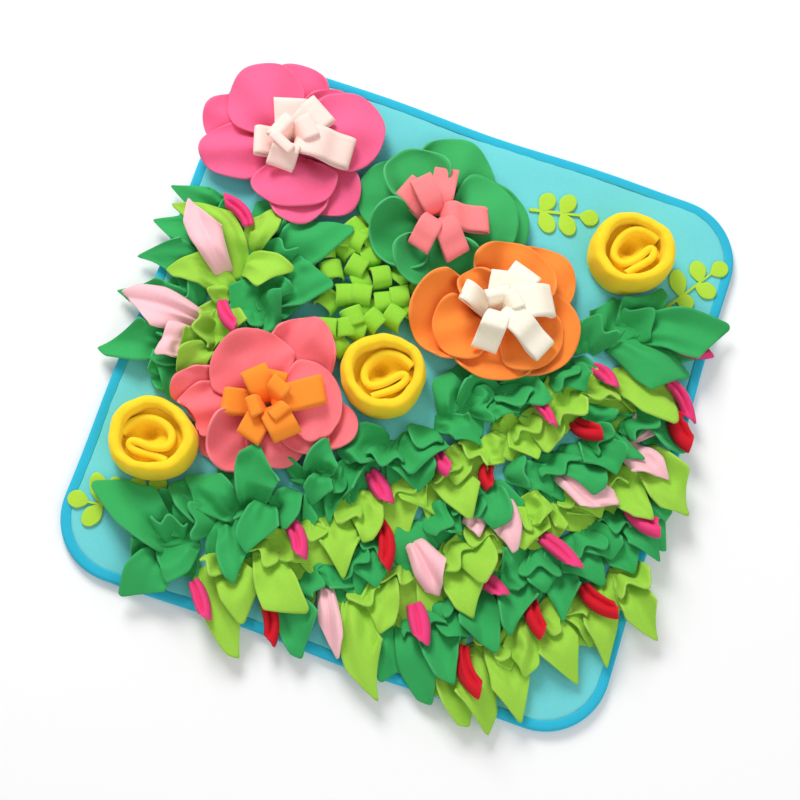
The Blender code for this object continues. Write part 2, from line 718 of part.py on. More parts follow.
# ---------------------------------------------------------------------------------------
# Leaves and petals
# ---------------------------------------------------------------------------------------


def leaf_half_width(share, width):
    """Half the width of a leaf at its share of the length from root to point."""
    return 0.5 * width * max(math.sin(math.pi * share ** LEAF_TAPER), 0.0) ** LEAF_FULLNESS



def arch_height(share):
    """Height of an arched sheet at its share of the length, at most 1."""
    return RISE_SCALE * math.sin(math.pi * share)


def leaf_points(root, leaf, strip):
    """Grid of points on the upper side of a leaf that leaves its strip at root."""
    tip = np.array([leaf.tip_x, leaf.tip_y], dtype=float)
    chord = tip - root
    length = np.linalg.norm(chord)
    left = np.array([-chord[1], chord[0]]) / length
    neck = NECK_REACH / length
    shares = [0.0, neck] + [neck + (1.0 - neck) * share for share in BLADE_STATIONS]
    grid = np.zeros((ROWS, len(COLUMNS), 3))
    for i, share in enumerate(shares):
        middle = root + share * chord + 4.0 * share * (1.0 - share) * leaf.bow * left
        along = chord / length + 4.0 * (1.0 - 2.0 * share) * leaf.bow / length * left
        side = np.array([-along[1], along[0]]) / np.linalg.norm(along)
        if i == 0:
            half = ROOT_HALF_WIDTH
        elif i == 1:
            half = NECK_HALF_WIDTH
        else:
            half = leaf_half_width(share * leaf.end, leaf.width)
        opened = 0.0 if i < 2 else 1.0 - FOLD_FADE * share
        for j, column in enumerate(COLUMNS):
            ridge = 1.0 - abs(column) if leaf.fold > 0 else abs(column)
            grid[i, j, :2] = middle + column * half * side
            grid[i, j, 2] = ROOT_TOP + leaf.rise * arch_height(share)
            grid[i, j, 2] += FOLD_SCALE * abs(leaf.fold) * ridge * opened
    turn = -1.0 if chord @ np.array([-strip[1], strip[0]]) > 0 else 1.0
    grid[0, :, :2] = root + np.outer(COLUMNS, strip) * turn * ROOT_HALF_WIDTH
    grid[0, :, 2] = BACKING_TOP
    grid[1:, :, :2] = away_from_roses(grid[1:, :, :2])
    return grid


def heading_to(centre, tip):
    """Heading of a petal's or loop's tip from its flower's middle, from 0 to 360."""
    return math.degrees(math.atan2(tip.tip_y - centre[1], tip.tip_x - centre[0])) % 360.0


def root_angles(headings):
    """Half the angle that each sheet's root takes up round a disc, in degrees."""
    angles = {}
    for heading in headings:
        apart = [abs((heading - other + 180) % 360 - 180) for other in headings if other != heading]
        angles[heading] = min(MOST_ROOT_ANGLE, ROOT_ANGLE_SHARE * min(apart))
    return angles


def petal_points(centre, root_radius, floor_lift, petal, root_angle):
    """Grid of points on the upper side of a petal that leaves a flower's disc."""
    out = direction(heading_to(centre, petal))
    side = np.array([-out[1], out[0]])
    reach = math.hypot(petal.tip_x - centre[0], petal.tip_y - centre[1])
    length = reach - root_radius
    neck = PETAL_NECK_REACH / length
    shares = [0.0, neck] + [neck + (1.0 - neck) * share for share in PETAL_BLADE]
    half = 0.5 * petal.width
    share = math.radians(root_angle)
    halves = [root_radius * math.sin(share), (root_radius + PETAL_NECK_REACH) * share,
              PETAL_SHOULDER * half, half, PETAL_END_WIDTH * half]
    grid = np.zeros((ROWS, len(COLUMNS), 3))
    for i, share in enumerate(shares):
        opened = 0.0 if i < 2 else 1.0
        for j, column in enumerate(COLUMNS):
            rounding = PETAL_END_ROUND * length * abs(column) if i == ROWS - 1 else 0.0
            middle = centre + out * (root_radius + length * share - rounding)
            cup = petal.cup * (column ** 2 if petal.cup > 0 else column ** 2 - 1.0)
            grid[i, j, :2] = middle + column * halves[i] * side
            grid[i, j, 2] = ROOT_TOP + floor_lift + petal.rise * arch_height(share)
            grid[i, j, 2] += FOLD_SCALE * cup * opened
    grid[1:, :, :2] = away_from_roses(grid[1:, :, :2])
    return grid


def strip_ends(row):
    """The two ends of a row's backing strip."""
    roots = [leaf.root for leaf in row.leaves]
    foot = np.array([row.x, row.y])
    along = direction(row.heading)
    first, last = min(roots) - STRIP_OVERHANG, max(roots) + STRIP_OVERHANG
    return foot + along * first, foot + along * last


def free_root(pile, row, leaf, taken):
    """Place of a leaf's root: where the table says, or the nearest place that the
    leaves of other rows leave free."""
    foot = np.array([row.x, row.y])
    along = direction(row.heading)
    side = np.array([-along[1], along[0]])
    span = np.linspace(-ROOT_HALF_WIDTH, ROOT_HALF_WIDTH, 7)
    first, last = min(leaf.root for leaf in row.leaves), max(leaf.root for leaf in row.leaves)
    ground = pile.ground(row.name, row.name + BACKING)
    for slide in ROOT_SLIDES:
        root = leaf.root + slide
        spots = foot + along * (root + span)[:, None]
        near = any(abs(root - other) < ROOT_PITCH for other in taken)
        if near or not first <= root <= last:
            continue
        spots = np.concatenate([spots, spots + side, spots - side])
        if Pile.heights(ground, spots).max() < BACKING_TOP + GAP:
            return root
    return leaf.root


class Bed:
    """All the leaves, and the order in which they are laid."""

    def __init__(self, rows):
        self.rows = {row.name: row for row in rows}
        self.laid = {row.name: [] for row in rows}
        self.waiting = [(row, leaf) for row in rows for leaf in row.leaves]
        self.footprints = []
        self.roots = []
        for row, leaf in self.waiting:
            grid = self.grid(row, leaf, leaf.root)
            cells = Pile.cells_of(FINE_SAMPLES @ grid.reshape(-1, 3)[:, :2])
            self.footprints.append({tuple(cell) for cell in cells})
            span = np.linspace(-ROOT_HALF_WIDTH, ROOT_HALF_WIDTH, 5)[:, None]
            spots = self.place(row, leaf.root) + direction(row.heading) * span
            self.roots.append({tuple(cell) for cell in Pile.cells_of(spots)})

    @staticmethod
    def place(row, root):
        """Point on a row's strip."""
        return np.array([row.x, row.y]) + direction(row.heading) * root

    @staticmethod
    def grid(row, leaf, root):
        """Grid of a leaf that is not laid yet."""
        return leaf_points(Bed.place(row, root), leaf, direction(row.heading))

    def order(self, late):
        """Numbers of the leaves in the order of the tables, but a leaf that hides the
        root of another one comes after it."""
        left = [k for k, (_, leaf) in enumerate(self.waiting) if bool(leaf.late) == late]
        while left:
            hidden = {k: [other for other in left if other != k
                          and self.footprints[k] & self.roots[other]] for k in left}
            free = [k for k in left if not hidden[k]]
            same_row = [k for k in left if all(
                self.waiting[other][0] is self.waiting[k][0] for other in hidden[k])]
            chosen = (free + same_row + left)[0]
            left.remove(chosen)
            yield chosen

    def lay(self, pile, late):
        """Lay the leaves that come before, or after, the flowers."""
        for number in self.order(late):
            row, leaf = self.waiting[number]
            taken = [other.root for other in row.leaves if other is not leaf]
            root = free_root(pile, row, leaf, taken)
            grid = lay(pile, self.grid(row, leaf, root), row.name)
            self.laid[row.name].append((root, grid))


def row_object(row, laid):
    """A row's backing strip with its leaves grown out of it. laid lists the place of
    each root and the grid of its leaf."""
    body = Body()
    start, end = strip_ends(row)
    foot = np.array([row.x, row.y])
    along = direction(row.heading)
    left = np.array([-along[1], along[0]])
    edge = {"left": 0.5 * STRIP_WIDTH * left, "right": -0.5 * STRIP_WIDTH * left}
    floor = {(side, k): body.add(*(spot + edge[side]), BACKING_FLOOR)
             for side in edge for k, spot in enumerate((start, end))}
    top = {side: [body.add(*(start + edge[side]), BACKING_TOP)] for side in edge}
    for root, grid in sorted(laid, key=lambda item: item[0]):
        corners = {side: [
            body.add(*(foot + along * (root + shift) + edge[side]), BACKING_TOP)
            for shift in (-ROOT_HALF_WIDTH, 0.0, ROOT_HALF_WIDTH)] for side in edge}
        body.face(top["right"][-1], corners["right"][0], corners["left"][0], top["left"][-1])
        heads_left = (grid[2, 1, :2] - grid[0, 1, :2]) @ left > 0
        if heads_left:
            body.sheet(grid, corners["right"][::-1], corners["left"][::-1])
        else:
            body.sheet(grid, corners["left"], corners["right"])
        for side in edge:
            top[side] += corners[side]
    for side in edge:
        top[side].append(body.add(*(end + edge[side]), BACKING_TOP))
    body.face(top["right"][-2], top["right"][-1], top["left"][-1], top["left"][-2])
    middle = len(top["left"]) // 2
    for side, turn in (("right", 1), ("left", -1)):
        for k in range(len(top[side]) - 1):
            low = floor[side, 0] if k < middle else floor[side, 1]
            body.face(*(low, top[side][k + 1], top[side][k])[::turn])
        body.face(*(floor[side, 0], floor[side, 1], top[side][middle])[::turn])
    body.face(floor["left", 0], floor["left", 1], floor["right", 1], floor["right", 0])
    body.face(floor["right", 0], top["right"][0], top["left"][0], floor["left", 0])
    body.face(floor["left", 1], top["left"][-1], top["right"][-1], floor["right", 1])
    add_object(row.name, row.colour, body.verts, body.faces)


# ---------------------------------------------------------------------------------------
# Flowers
# ---------------------------------------------------------------------------------------


def circle(x, y, radius, sides):
    """Counterclockwise outline of a regular polygon."""
    return [
        (x + radius * math.cos(2 * math.pi * k / sides),
         y + radius * math.sin(2 * math.pi * k / sides))
        for k in range(sides)
    ]


def build_petals(pile, flower, petals, name, radius, lift):
    """Lay the petals of one layer of a flower and grow them out of its disc."""
    centre = np.array([flower.x, flower.y], dtype=float)
    angles = root_angles([heading_to(centre, petal) for petal in petals])
    grids = {}
    for petal in petals:
        heading = heading_to(centre, petal)
        grid = petal_points(centre, radius, lift, petal, angles[heading])
        grids[heading] = (angles[heading], lay(pile, grid, name))
    body = Body()
    tops, floors = [], []
    for heading, (angle, grid) in sorted(grids.items()):
        rim = [centre + radius * direction(heading + turn) for turn in (-angle, 0.0, angle)]
        upper = [body.add(*spot, BACKING_TOP + lift) for spot in rim]
        lower = [body.add(*spot, BACKING_FLOOR + lift) for spot in rim]
        body.sheet(grid, upper, lower)
        if tops:
            body.face(floors[-1], lower[0], upper[0], tops[-1])
        tops += upper
        floors += lower
    body.face(floors[-1], floors[0], tops[0], tops[-1])
    body.face(*tops)
    body.face(*floors[::-1])
    add_object(name, flower.colour, body.verts, body.faces)


def strip_rings(foot, heading, path, cloth):
    """Four-cornered rings of a strip of cloth. path lists distance, height and half
    width at each bend of its middle line, seen from the side."""
    out = direction(heading)
    side = np.array([-out[1], out[0]])
    line = np.array([(d, z) for d, z, _ in path])
    rings = []
    for k, (_, _, half) in enumerate(path):
        before = line[k] - line[k - 1] if k > 0 else line[1] - line[0]
        after = line[k + 1] - line[k] if k < len(line) - 1 else before
        before, after = before / np.linalg.norm(before), after / np.linalg.norm(after)
        mean = (before + after) / np.linalg.norm(before + after)
        normal = np.array([-mean[1], mean[0]]) * 0.5 * cloth / max(mean @ before, MITRE_LIMIT)
        ring = []
        for place, turn in ((line[k] + normal, 1), (line[k] + normal, -1),
                            (line[k] - normal, -1), (line[k] - normal, 1)):
            spot = foot + out * place[0] + side * half * turn
            ring.append((spot[0], spot[1], place[1]))
        rings.append(ring)
    return rings


def strip_piece(foot, heading, path, cloth):
    """Closed strip of cloth with the given path of its middle line."""
    body = Body()
    rings = strip_rings(foot, heading, path, cloth)
    first = [body.add(*spot) for spot in rings[0]]
    body.face(*first[::-1])
    body.tube(first, rings[1:])
    return body.verts, body.faces


def lay_loop(ground, foot, loop, root_angle):
    """Rings and plan of one loop of a flower's centre: out from the hub, round its tip
    and back below, as low and as level as the ground lets it."""
    heading = heading_to(foot, loop)
    out = direction(heading)
    side = np.array([-out[1], out[0]])
    wedge = math.tan(math.radians(root_angle))
    reach, half = math.hypot(loop.tip_x - foot[0], loop.tip_y - foot[1]), 0.5 * loop.width
    distance = np.linspace(HUB_RADIUS + LOOP_NECK - LOOP_PLAY, reach + LOOP_PLAY, 24)
    halves = np.minimum(half, distance * wedge)
    across = np.linspace(-1.0, 1.0, 15)
    spots = foot + out * distance[:, None, None]
    spots = spots + side * (halves[:, None] * across)[..., None]
    heights = Pile.heights(ground, spots)
    choices = []
    for slope in LOOP_SLOPES:
        level = (heights - slope * distance[:, None]).max()
        choices.append((level + slope * distance.mean(), level, slope))
    _, level, slope = min(choices)
    lowest = HUB_FLOOR + LOOP_PLAY - slope * distance[0]
    level = max(level + GAP + LOOP_REST * LOOP_CLOTH, lowest)
    path = []
    bend = reach - LOOP_BEND
    for r, z in ((HUB_RADIUS + LOOP_NECK, LOOP_DEPTH - LOOP_DIP),
                 (LOOP_SHOULDER * reach, LOOP_DEPTH), (bend, LOOP_DEPTH),
                 (reach, 0.5 * LOOP_DEPTH), (bend, 0.0), (LOOP_END * reach, 0.0)):
        path.append((r, level + slope * r + z, min(half, r * wedge)))
    top = level + slope * distance[:, None] + LOOP_DEPTH + LOOP_CLOTH + 0.0 * heights
    return strip_rings(foot, heading, path, LOOP_CLOTH), np.dstack([spots, top])


def build_loops(pile, flower, name):
    """Lay the loops of a flower's centre and grow them out of their hub."""
    centre = np.array([flower.x, flower.y], dtype=float)
    angles = root_angles([heading_to(centre, loop) for loop in flower.loops])
    ground = pile.ground(name)
    body = Body()
    tops, floors = [], []
    for loop in sorted(flower.loops, key=lambda item: heading_to(centre, item)):
        heading = heading_to(centre, loop)
        angle = angles[heading]
        rings, covered = lay_loop(ground, centre, loop, angle)
        pile.cover(name, covered)
        rim = [centre + HUB_RADIUS * direction(heading + turn) for turn in (-angle, angle)]
        upper = [body.add(*spot, HUB_TOP) for spot in rim]
        lower = [body.add(*spot, HUB_FLOOR) for spot in rim]
        body.tube([upper[1], upper[0], lower[0], lower[1]], rings)
        if tops:
            body.face(floors[-1], lower[0], upper[0], tops[-1])
        tops += upper
        floors += lower
    body.face(floors[-1], floors[0], tops[0], tops[-1])
    body.face(*tops)
    body.face(*floors[::-1])
    add_object(name, flower.loop_colour, body.verts, body.faces)


def build_flower(pile, flower):
    """Lay and build a flower: outer petals, inner petals and centre loops."""
    build_petals(pile, flower, flower.outer, flower.name + "_outer", OUTER_DISC_RADIUS, 0.0)
    build_petals(
        pile, flower, flower.inner, flower.name + "_inner", INNER_DISC_RADIUS, INNER_DISC_LIFT
    )
    build_loops(pile, flower, flower.name + "_loops")


# ---------------------------------------------------------------------------------------
# Arched loops, roses, sprigs, pad and binding
# ---------------------------------------------------------------------------------------


def build_arches(pile):
    """The cluster of arched loops on its backing."""
    name = "arched_loops"
    pieces = []
    for number, arch in enumerate(ARCHES):
        foot = np.array([arch.x, arch.y], dtype=float)
        half = 0.5 * ARCH_WIDTH
        span, height = ARCH_HALF_SPAN, ARCH_HEIGHT + ARCH_UNEVEN[number % len(ARCH_UNEVEN)]
        path = [(x * span, BACKING_TOP + z * height, half) for x, z in ARCH_PATH]
        pieces.append(strip_piece(foot, arch.heading, path, LOOP_CLOTH))
        out = direction(arch.heading)
        side = np.array([-out[1], out[0]])
        reach = np.linspace(-span - 1.0, span + 1.0, 18)
        across = np.linspace(-half, half, 16)
        spots = foot + out * reach[:, None, None] + side * across[None, :, None]
        top = np.full(spots.shape[:2] + (1,), BACKING_TOP + height + LOOP_CLOTH)
        pile.cover(name, np.concatenate([spots, top], axis=2))
    backing = add_object(name, "loop green", *prism(ARCH_BACKING, BACKING_FLOOR, BACKING_TOP))
    fuse(backing, pieces)


def build_rose(number, rose):
    """A rose: a fat turned-over band and the curl that stands inside it."""
    centre = np.array([rose.x, rose.y], dtype=float)
    middle = BACKING_FLOOR + 0.5 * ROSE_HEIGHT
    sections = []
    for k in range(ROSE_SIDES):
        out = direction(360.0 * k / ROSE_SIDES)
        slump = 1.0 + ROSE_SLUMP * math.cos(4 * math.pi * k / ROSE_SIDES + math.radians(rose.turn))
        section = []
        for m in range(ROSE_SECTION):
            turn = 2 * math.pi * m / ROSE_SECTION - 0.5 * math.pi
            radius = (ROSE_RADIUS - ROSE_BAND) * slump + ROSE_BAND * math.cos(turn)
            spot = centre + out * radius
            section.append((*spot, middle + 0.5 * ROSE_HEIGHT * math.sin(turn)))
        sections.append(section)
    add_object(f"rose_band_{number}", "yellow", sum(sections, []), ring_of_sections(sections))
    body = Body()
    path = [centre + CURL_SHIFT * direction(rose.turn - 15) + radius * direction(rose.turn + turn)
            for turn, radius in CURL_PATH]
    levels = ((BACKING_FLOOR, 1.0), (BACKING_FLOOR + CURL_SHOULDER * CURL_HEIGHT, 1.0),
              (BACKING_FLOOR + CURL_HEIGHT, CURL_CREST))
    rings = []
    for z, fullness in levels:
        inner, outer = [], []
        for k, spot in enumerate(path):
            ahead = path[min(k + 1, len(path) - 1)] - path[max(k - 1, 0)]
            normal = np.array([-ahead[1], ahead[0]]) / np.linalg.norm(ahead)
            inner.append(body.add(*(spot + normal * CURL_BAND * fullness), z))
            outer.append(body.add(*(spot - normal * CURL_BAND * fullness), z))
        rings.append(outer + inner[::-1])
    for lower, upper in zip(rings, rings[1:]):
        for m in range(len(lower)):
            n = (m + 1) % len(lower)
            body.face(lower[m], lower[n], upper[n], upper[m])
    body.face(*rings[0][::-1])
    body.face(*rings[-1])
    add_object(f"rose_curl_{number}", "yellow", body.verts, body.faces)


def leaflet(root, middle, floor):
    """A flat oval leaflet from its root on the stem through its middle."""
    reach = np.linalg.norm(middle - root)
    out = (middle - root) / reach
    side = np.array([-out[1], out[0]])
    outline = []
    for k in range(LEAFLET_SIDES):
        angle = 2 * math.pi * (k + 0.5) / LEAFLET_SIDES
        spot = middle + out * reach * math.cos(angle) + side * LEAFLET_HALF * math.sin(angle)
        outline.append((spot[0], spot[1]))
    return prism(outline, floor, floor + SPRIG_CLOTH)


def sprig_leaflets(sprig):
    """Roots and middles of a sprig's leaflets, and the direction of its stem."""
    foot = np.array([sprig.foot_x, sprig.foot_y], dtype=float)
    tip = np.array([sprig.tip_x, sprig.tip_y], dtype=float)
    along = (tip - foot) / np.linalg.norm(tip - foot)
    roots = []
    for spot in sprig.leaflets:
        middle = np.array(spot, dtype=float)
        reach = (middle - foot) @ along
        aside = np.linalg.norm(middle - foot - along * reach)
        back = max(LEAFLET_BACK * aside, LEAFLET_TIP_BACK - aside)
        roots.append((foot + along * (reach - back), middle))
    return foot, tip, along, roots


def build_sprig(number, sprig):
    """A flat sprig: a stem with leaflets on both sides."""
    foot, tip, along, roots = sprig_leaflets(sprig)
    side = np.array([-along[1], along[0]]) * STEM_HALF
    outline = [foot - side, tip - 0.5 * side, tip + 0.5 * side, foot + side]
    leaflets = [leaflet(root, middle, SPRIG_FLOOR + LEAFLET_LIFT) for root, middle in roots]
    ends = SPRIG_FLOOR, SPRIG_FLOOR + SPRIG_CLOTH
    stem = add_object(f"sprig_{number}", "sprig", *prism(outline, *ends))
    fuse(stem, leaflets)


def pad_outline(inset):
    """Outline of the mat, a rounded square with slightly wavy sides, moved inwards."""
    half_x, half_y = 0.5 * PAD_WIDTH - inset, 0.5 * PAD_LENGTH - inset
    corner = PAD_CORNER - inset
    outline = []
    centres = (
        (half_x - corner, half_y - corner, 0.0), (corner - half_x, half_y - corner, 90.0),
        (corner - half_x, corner - half_y, 180.0), (half_x - corner, corner - half_y, 270.0),
    )
    for k, (x, y, start) in enumerate(centres):
        for step in range(CORNER_POINTS):
            out = direction(start + 90.0 * step / (CORNER_POINTS - 1)) * corner
            outline.append((x + out[0], y + out[1]))
        next_x, next_y, _ = centres[(k + 1) % 4]
        out = direction(start + 90.0)
        a = np.array([x, y]) + out * corner
        b = np.array([next_x, next_y]) + out * corner
        for step in range(1, SIDE_POINTS + 1):
            share = step / (SIDE_POINTS + 1)
            wave = PAD_WAVE * math.sin(3 * math.pi * share + k) * math.sin(math.pi * share)
            spot = a + (b - a) * share + out * wave
            outline.append((spot[0], spot[1]))
    return outline


def profile_sections(profile):
    """Sections round the mat's edge from a profile of inset and height."""
    outlines = {inset: pad_outline(inset) for inset, _ in profile}
    count = len(pad_outline(0.0))
    return [[(*outlines[inset][k], z) for inset, z in profile] for k in range(count)]


def build_pad():
    """The padded square, grooved round its rim where the binding wraps it."""
    profile = [
        (REBATE_REACH, 0.0), (REBATE_REACH, REBATE_FLOOR), (RIM_INSET, REBATE_FLOOR),
        (RIM_INSET, REBATE_ROOF), (REBATE_REACH, REBATE_ROOF), (REBATE_REACH, PAD_TOP),
    ]
    sections = profile_sections(profile)
    size, count = len(profile), len(sections)
    faces = []
    for i in range(count):
        j = (i + 1) % count
        for k in range(size - 1):
            faces.append((i * size + k, j * size + k, j * size + k + 1, i * size + k + 1))
    faces.append(tuple(i * size for i in reversed(range(count))))
    faces.append(tuple(i * size + size - 1 for i in range(count)))
    add_object("pad", "pad", sum(sections, []), faces)


def build_binding():
    """The band folded round the pad's edge."""
    roof, wall, rise = BINDING_TOP, BINDING_WALL, BINDING_ROUND_RISE * BINDING_TOP
    inner = wall + BINDING_PLAY
    profile = [
        (BINDING_REACH, 0.0), (BINDING_ROUND, 0.0), (0.0, rise), (0.0, roof - rise),
        (BINDING_ROUND, roof), (BINDING_REACH, roof), (BINDING_REACH, roof - inner),
        (inner, roof - inner), (inner, wall), (BINDING_REACH, wall),
    ]
    sections = profile_sections(profile)
    add_object("edge_binding", "binding", sum(sections, []), ring_of_sections(sections))


def cover_ground(pile):
    """Put the pad, the sprigs and every backing in the pile before anything is laid."""
    half_x, half_y = 0.5 * PAD_WIDTH, 0.5 * PAD_LENGTH
    pad = np.stack(np.meshgrid(
        np.arange(-half_x, half_x, PILE_CELL), np.arange(-half_y, half_y, PILE_CELL)
    ), axis=-1)
    pile.cover("pad", raised(pad, BINDING_TOP))
    for sprig in SPRIGS:
        foot, tip, _, roots = sprig_leaflets(sprig)
        lines = [(foot, tip)] + [(root, 2 * middle - root) for root, middle in roots]
        for start, end in lines:
            spots = band(start, end, 2 * LEAFLET_HALF)
            pile.cover("sprigs", raised(spots, SPRIG_FLOOR + SPRIG_CLOTH + LEAFLET_LIFT))
    for row in FIELD + BUSH:
        spots = band(*strip_ends(row), STRIP_WIDTH)
        pile.cover(row.name + BACKING, raised(spots, BACKING_TOP))
    for flower in FLOWERS:
        rings = [circle(flower.x, flower.y, radius, 60)
                 for radius in np.arange(0.0, OUTER_DISC_RADIUS, 1.0)]
        name = flower.name + "_outer" + BACKING
        pile.cover(name, raised(np.array(rings), BACKING_TOP))
    (left, front), (right, back) = np.min(ARCH_BACKING, axis=0), np.max(ARCH_BACKING, axis=0)
    places = np.stack(np.meshgrid(
        np.arange(left, right, PILE_CELL), np.arange(front, back, PILE_CELL)
    ), axis=-1).reshape(-1, 2)
    inside = np.array([spot for spot in places if in_outline(spot, ARCH_BACKING)])
    pile.cover("arched_loops" + BACKING, raised(inside, BACKING_TOP))


def raised(xy, z):
    """Places on the plan at one height."""
    return np.concatenate([xy, np.full(xy.shape[:-1] + (1,), float(z))], axis=-1)


def band(start, end, width):
    """Places that fill a straight band of the plan."""
    reach = np.linalg.norm(end - start)
    along = (end - start) / reach
    side = np.array([-along[1], along[0]])
    steps = np.linspace(0.0, 1.0, int(reach) + 2)[:, None, None] * (end - start)
    return start + steps + np.linspace(-0.5, 0.5, 12)[None, :, None] * width * side


def in_outline(spot, outline):
    """Whether a point lies inside a polygon."""
    inside = False
    for (ax, ay), (bx, by) in zip(outline, outline[1:] + outline[:1]):
        if (ay > spot[1]) != (by > spot[1]):
            if spot[0] < ax + (spot[1] - ay) / (by - ay) * (bx - ax):
                inside = not inside
    return inside


SAMPLES = cell_samples(ROWS, len(COLUMNS), 10)
FINE_SAMPLES = cell_samples(ROWS, len(COLUMNS), 22)
FREE = (np.arange(ROWS * len(COLUMNS)) >= len(COLUMNS)).astype(float)
FREE_SHARE = SAMPLES @ FREE
SMOOTHING = neighbour_mix(ROWS, len(COLUMNS), LIFT_SHARE)


def main():
    """Build the mat from the ground up."""
    clear_scene()
    build_pad()
    build_binding()
    for number, sprig in enumerate(SPRIGS, 1):
        build_sprig(number, sprig)
    for number, rose in enumerate(ROSES, 1):
        build_rose(number, rose)
    pile = Pile()
    cover_ground(pile)
    build_arches(pile)
    bed = Bed(FIELD + BUSH)
    bed.lay(pile, late=False)
    for flower in FLOWERS:
        build_flower(pile, flower)
    bed.lay(pile, late=True)
    for name, row in bed.rows.items():
        row_object(row, bed.laid[name])


main()
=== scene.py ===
"""Looks of the snuffle mat: fleece leaves, petals, loops and rolled roses on a padded square.

Every piece is cut, folded and laid the way it is sewn. A height map called the pile keeps
how high the mat reaches, and each new sheet of fleece is draped over what lies there
already. The tables are in millimetres, and the meshes are written in metres.
"""

import logging
import math
from dataclasses import dataclass, field
from enum import Enum

import bmesh
import bpy
import numpy as np
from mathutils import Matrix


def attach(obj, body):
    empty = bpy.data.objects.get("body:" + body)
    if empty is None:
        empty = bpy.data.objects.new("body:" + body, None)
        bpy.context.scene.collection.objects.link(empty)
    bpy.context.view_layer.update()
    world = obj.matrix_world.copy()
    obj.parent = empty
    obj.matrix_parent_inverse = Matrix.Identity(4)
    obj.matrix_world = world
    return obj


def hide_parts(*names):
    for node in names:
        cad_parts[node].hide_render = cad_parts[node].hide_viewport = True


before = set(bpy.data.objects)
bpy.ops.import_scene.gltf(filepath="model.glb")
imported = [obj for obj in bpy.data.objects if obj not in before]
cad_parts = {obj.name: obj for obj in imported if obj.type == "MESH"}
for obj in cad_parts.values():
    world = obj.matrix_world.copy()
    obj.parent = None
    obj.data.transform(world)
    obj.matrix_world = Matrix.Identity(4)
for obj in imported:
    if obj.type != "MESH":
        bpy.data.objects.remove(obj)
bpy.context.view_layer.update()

LOG = logging.getLogger("snuffle_mat")
MM = 0.001
BODY = "root"

# The padded square and its binding.
PAD_WIDTH = 480.0
PAD_LENGTH = 488.0
PAD_CORNER = 56.0
PAD_TOP = 8.0
BINDING_TOP = 8.4

# Cloth and the room between two sheets.
CLOTH = 2.0
LOOP_CLOTH = 1.9
GAP = 0.5

# Where roots are sewn down, and where sheets start to lie.
ROOT_FLOOR = 9.4
SHEET_FLOOR = 10.8

ROSE_KEEP_OUT = 38.5


class Cut(Enum):
    """How a leaf is cut and folded."""

    GATHERED = "gathered at its root"
    PLEATED = "pleated from root to tip"
    ROLLED = "rolled into a bud"


def linear(code: str) -> tuple[float, float, float]:
    """Turn a display colour into a linear one.

    Args:
        code: The colour as six hexadecimal digits.

    Returns:
        Its red, green and blue.
    """
    shares = [int(code[k:k + 2], 16) / 255.0 for k in (0, 2, 4)]
    return tuple(s / 12.92 if s <= 0.04045 else ((s + 0.055) / 1.055) ** 2.4 for s in shares)


# ---------------------------------------------------------------------------------------
# Finishes
# ---------------------------------------------------------------------------------------


def add_node(nodes: bpy.types.Nodes, kind: str, values: dict, **settings: str) -> bpy.types.Node:
    """Add a shader node.

    Args:
        nodes: The nodes of a tree.
        kind: Its kind.
        values: What its inputs hold.
        settings: Its own settings.

    Returns:
        The node.
    """
    node = nodes.new(f"ShaderNode{kind}")
    for name, value in settings.items():
        setattr(node, name, value)
    fill(node, values)
    return node


def fill(node: bpy.types.Node, values: dict) -> None:
    """Set inputs of a node."""
    for name, value in values.items():
        node.inputs[name].default_value = value


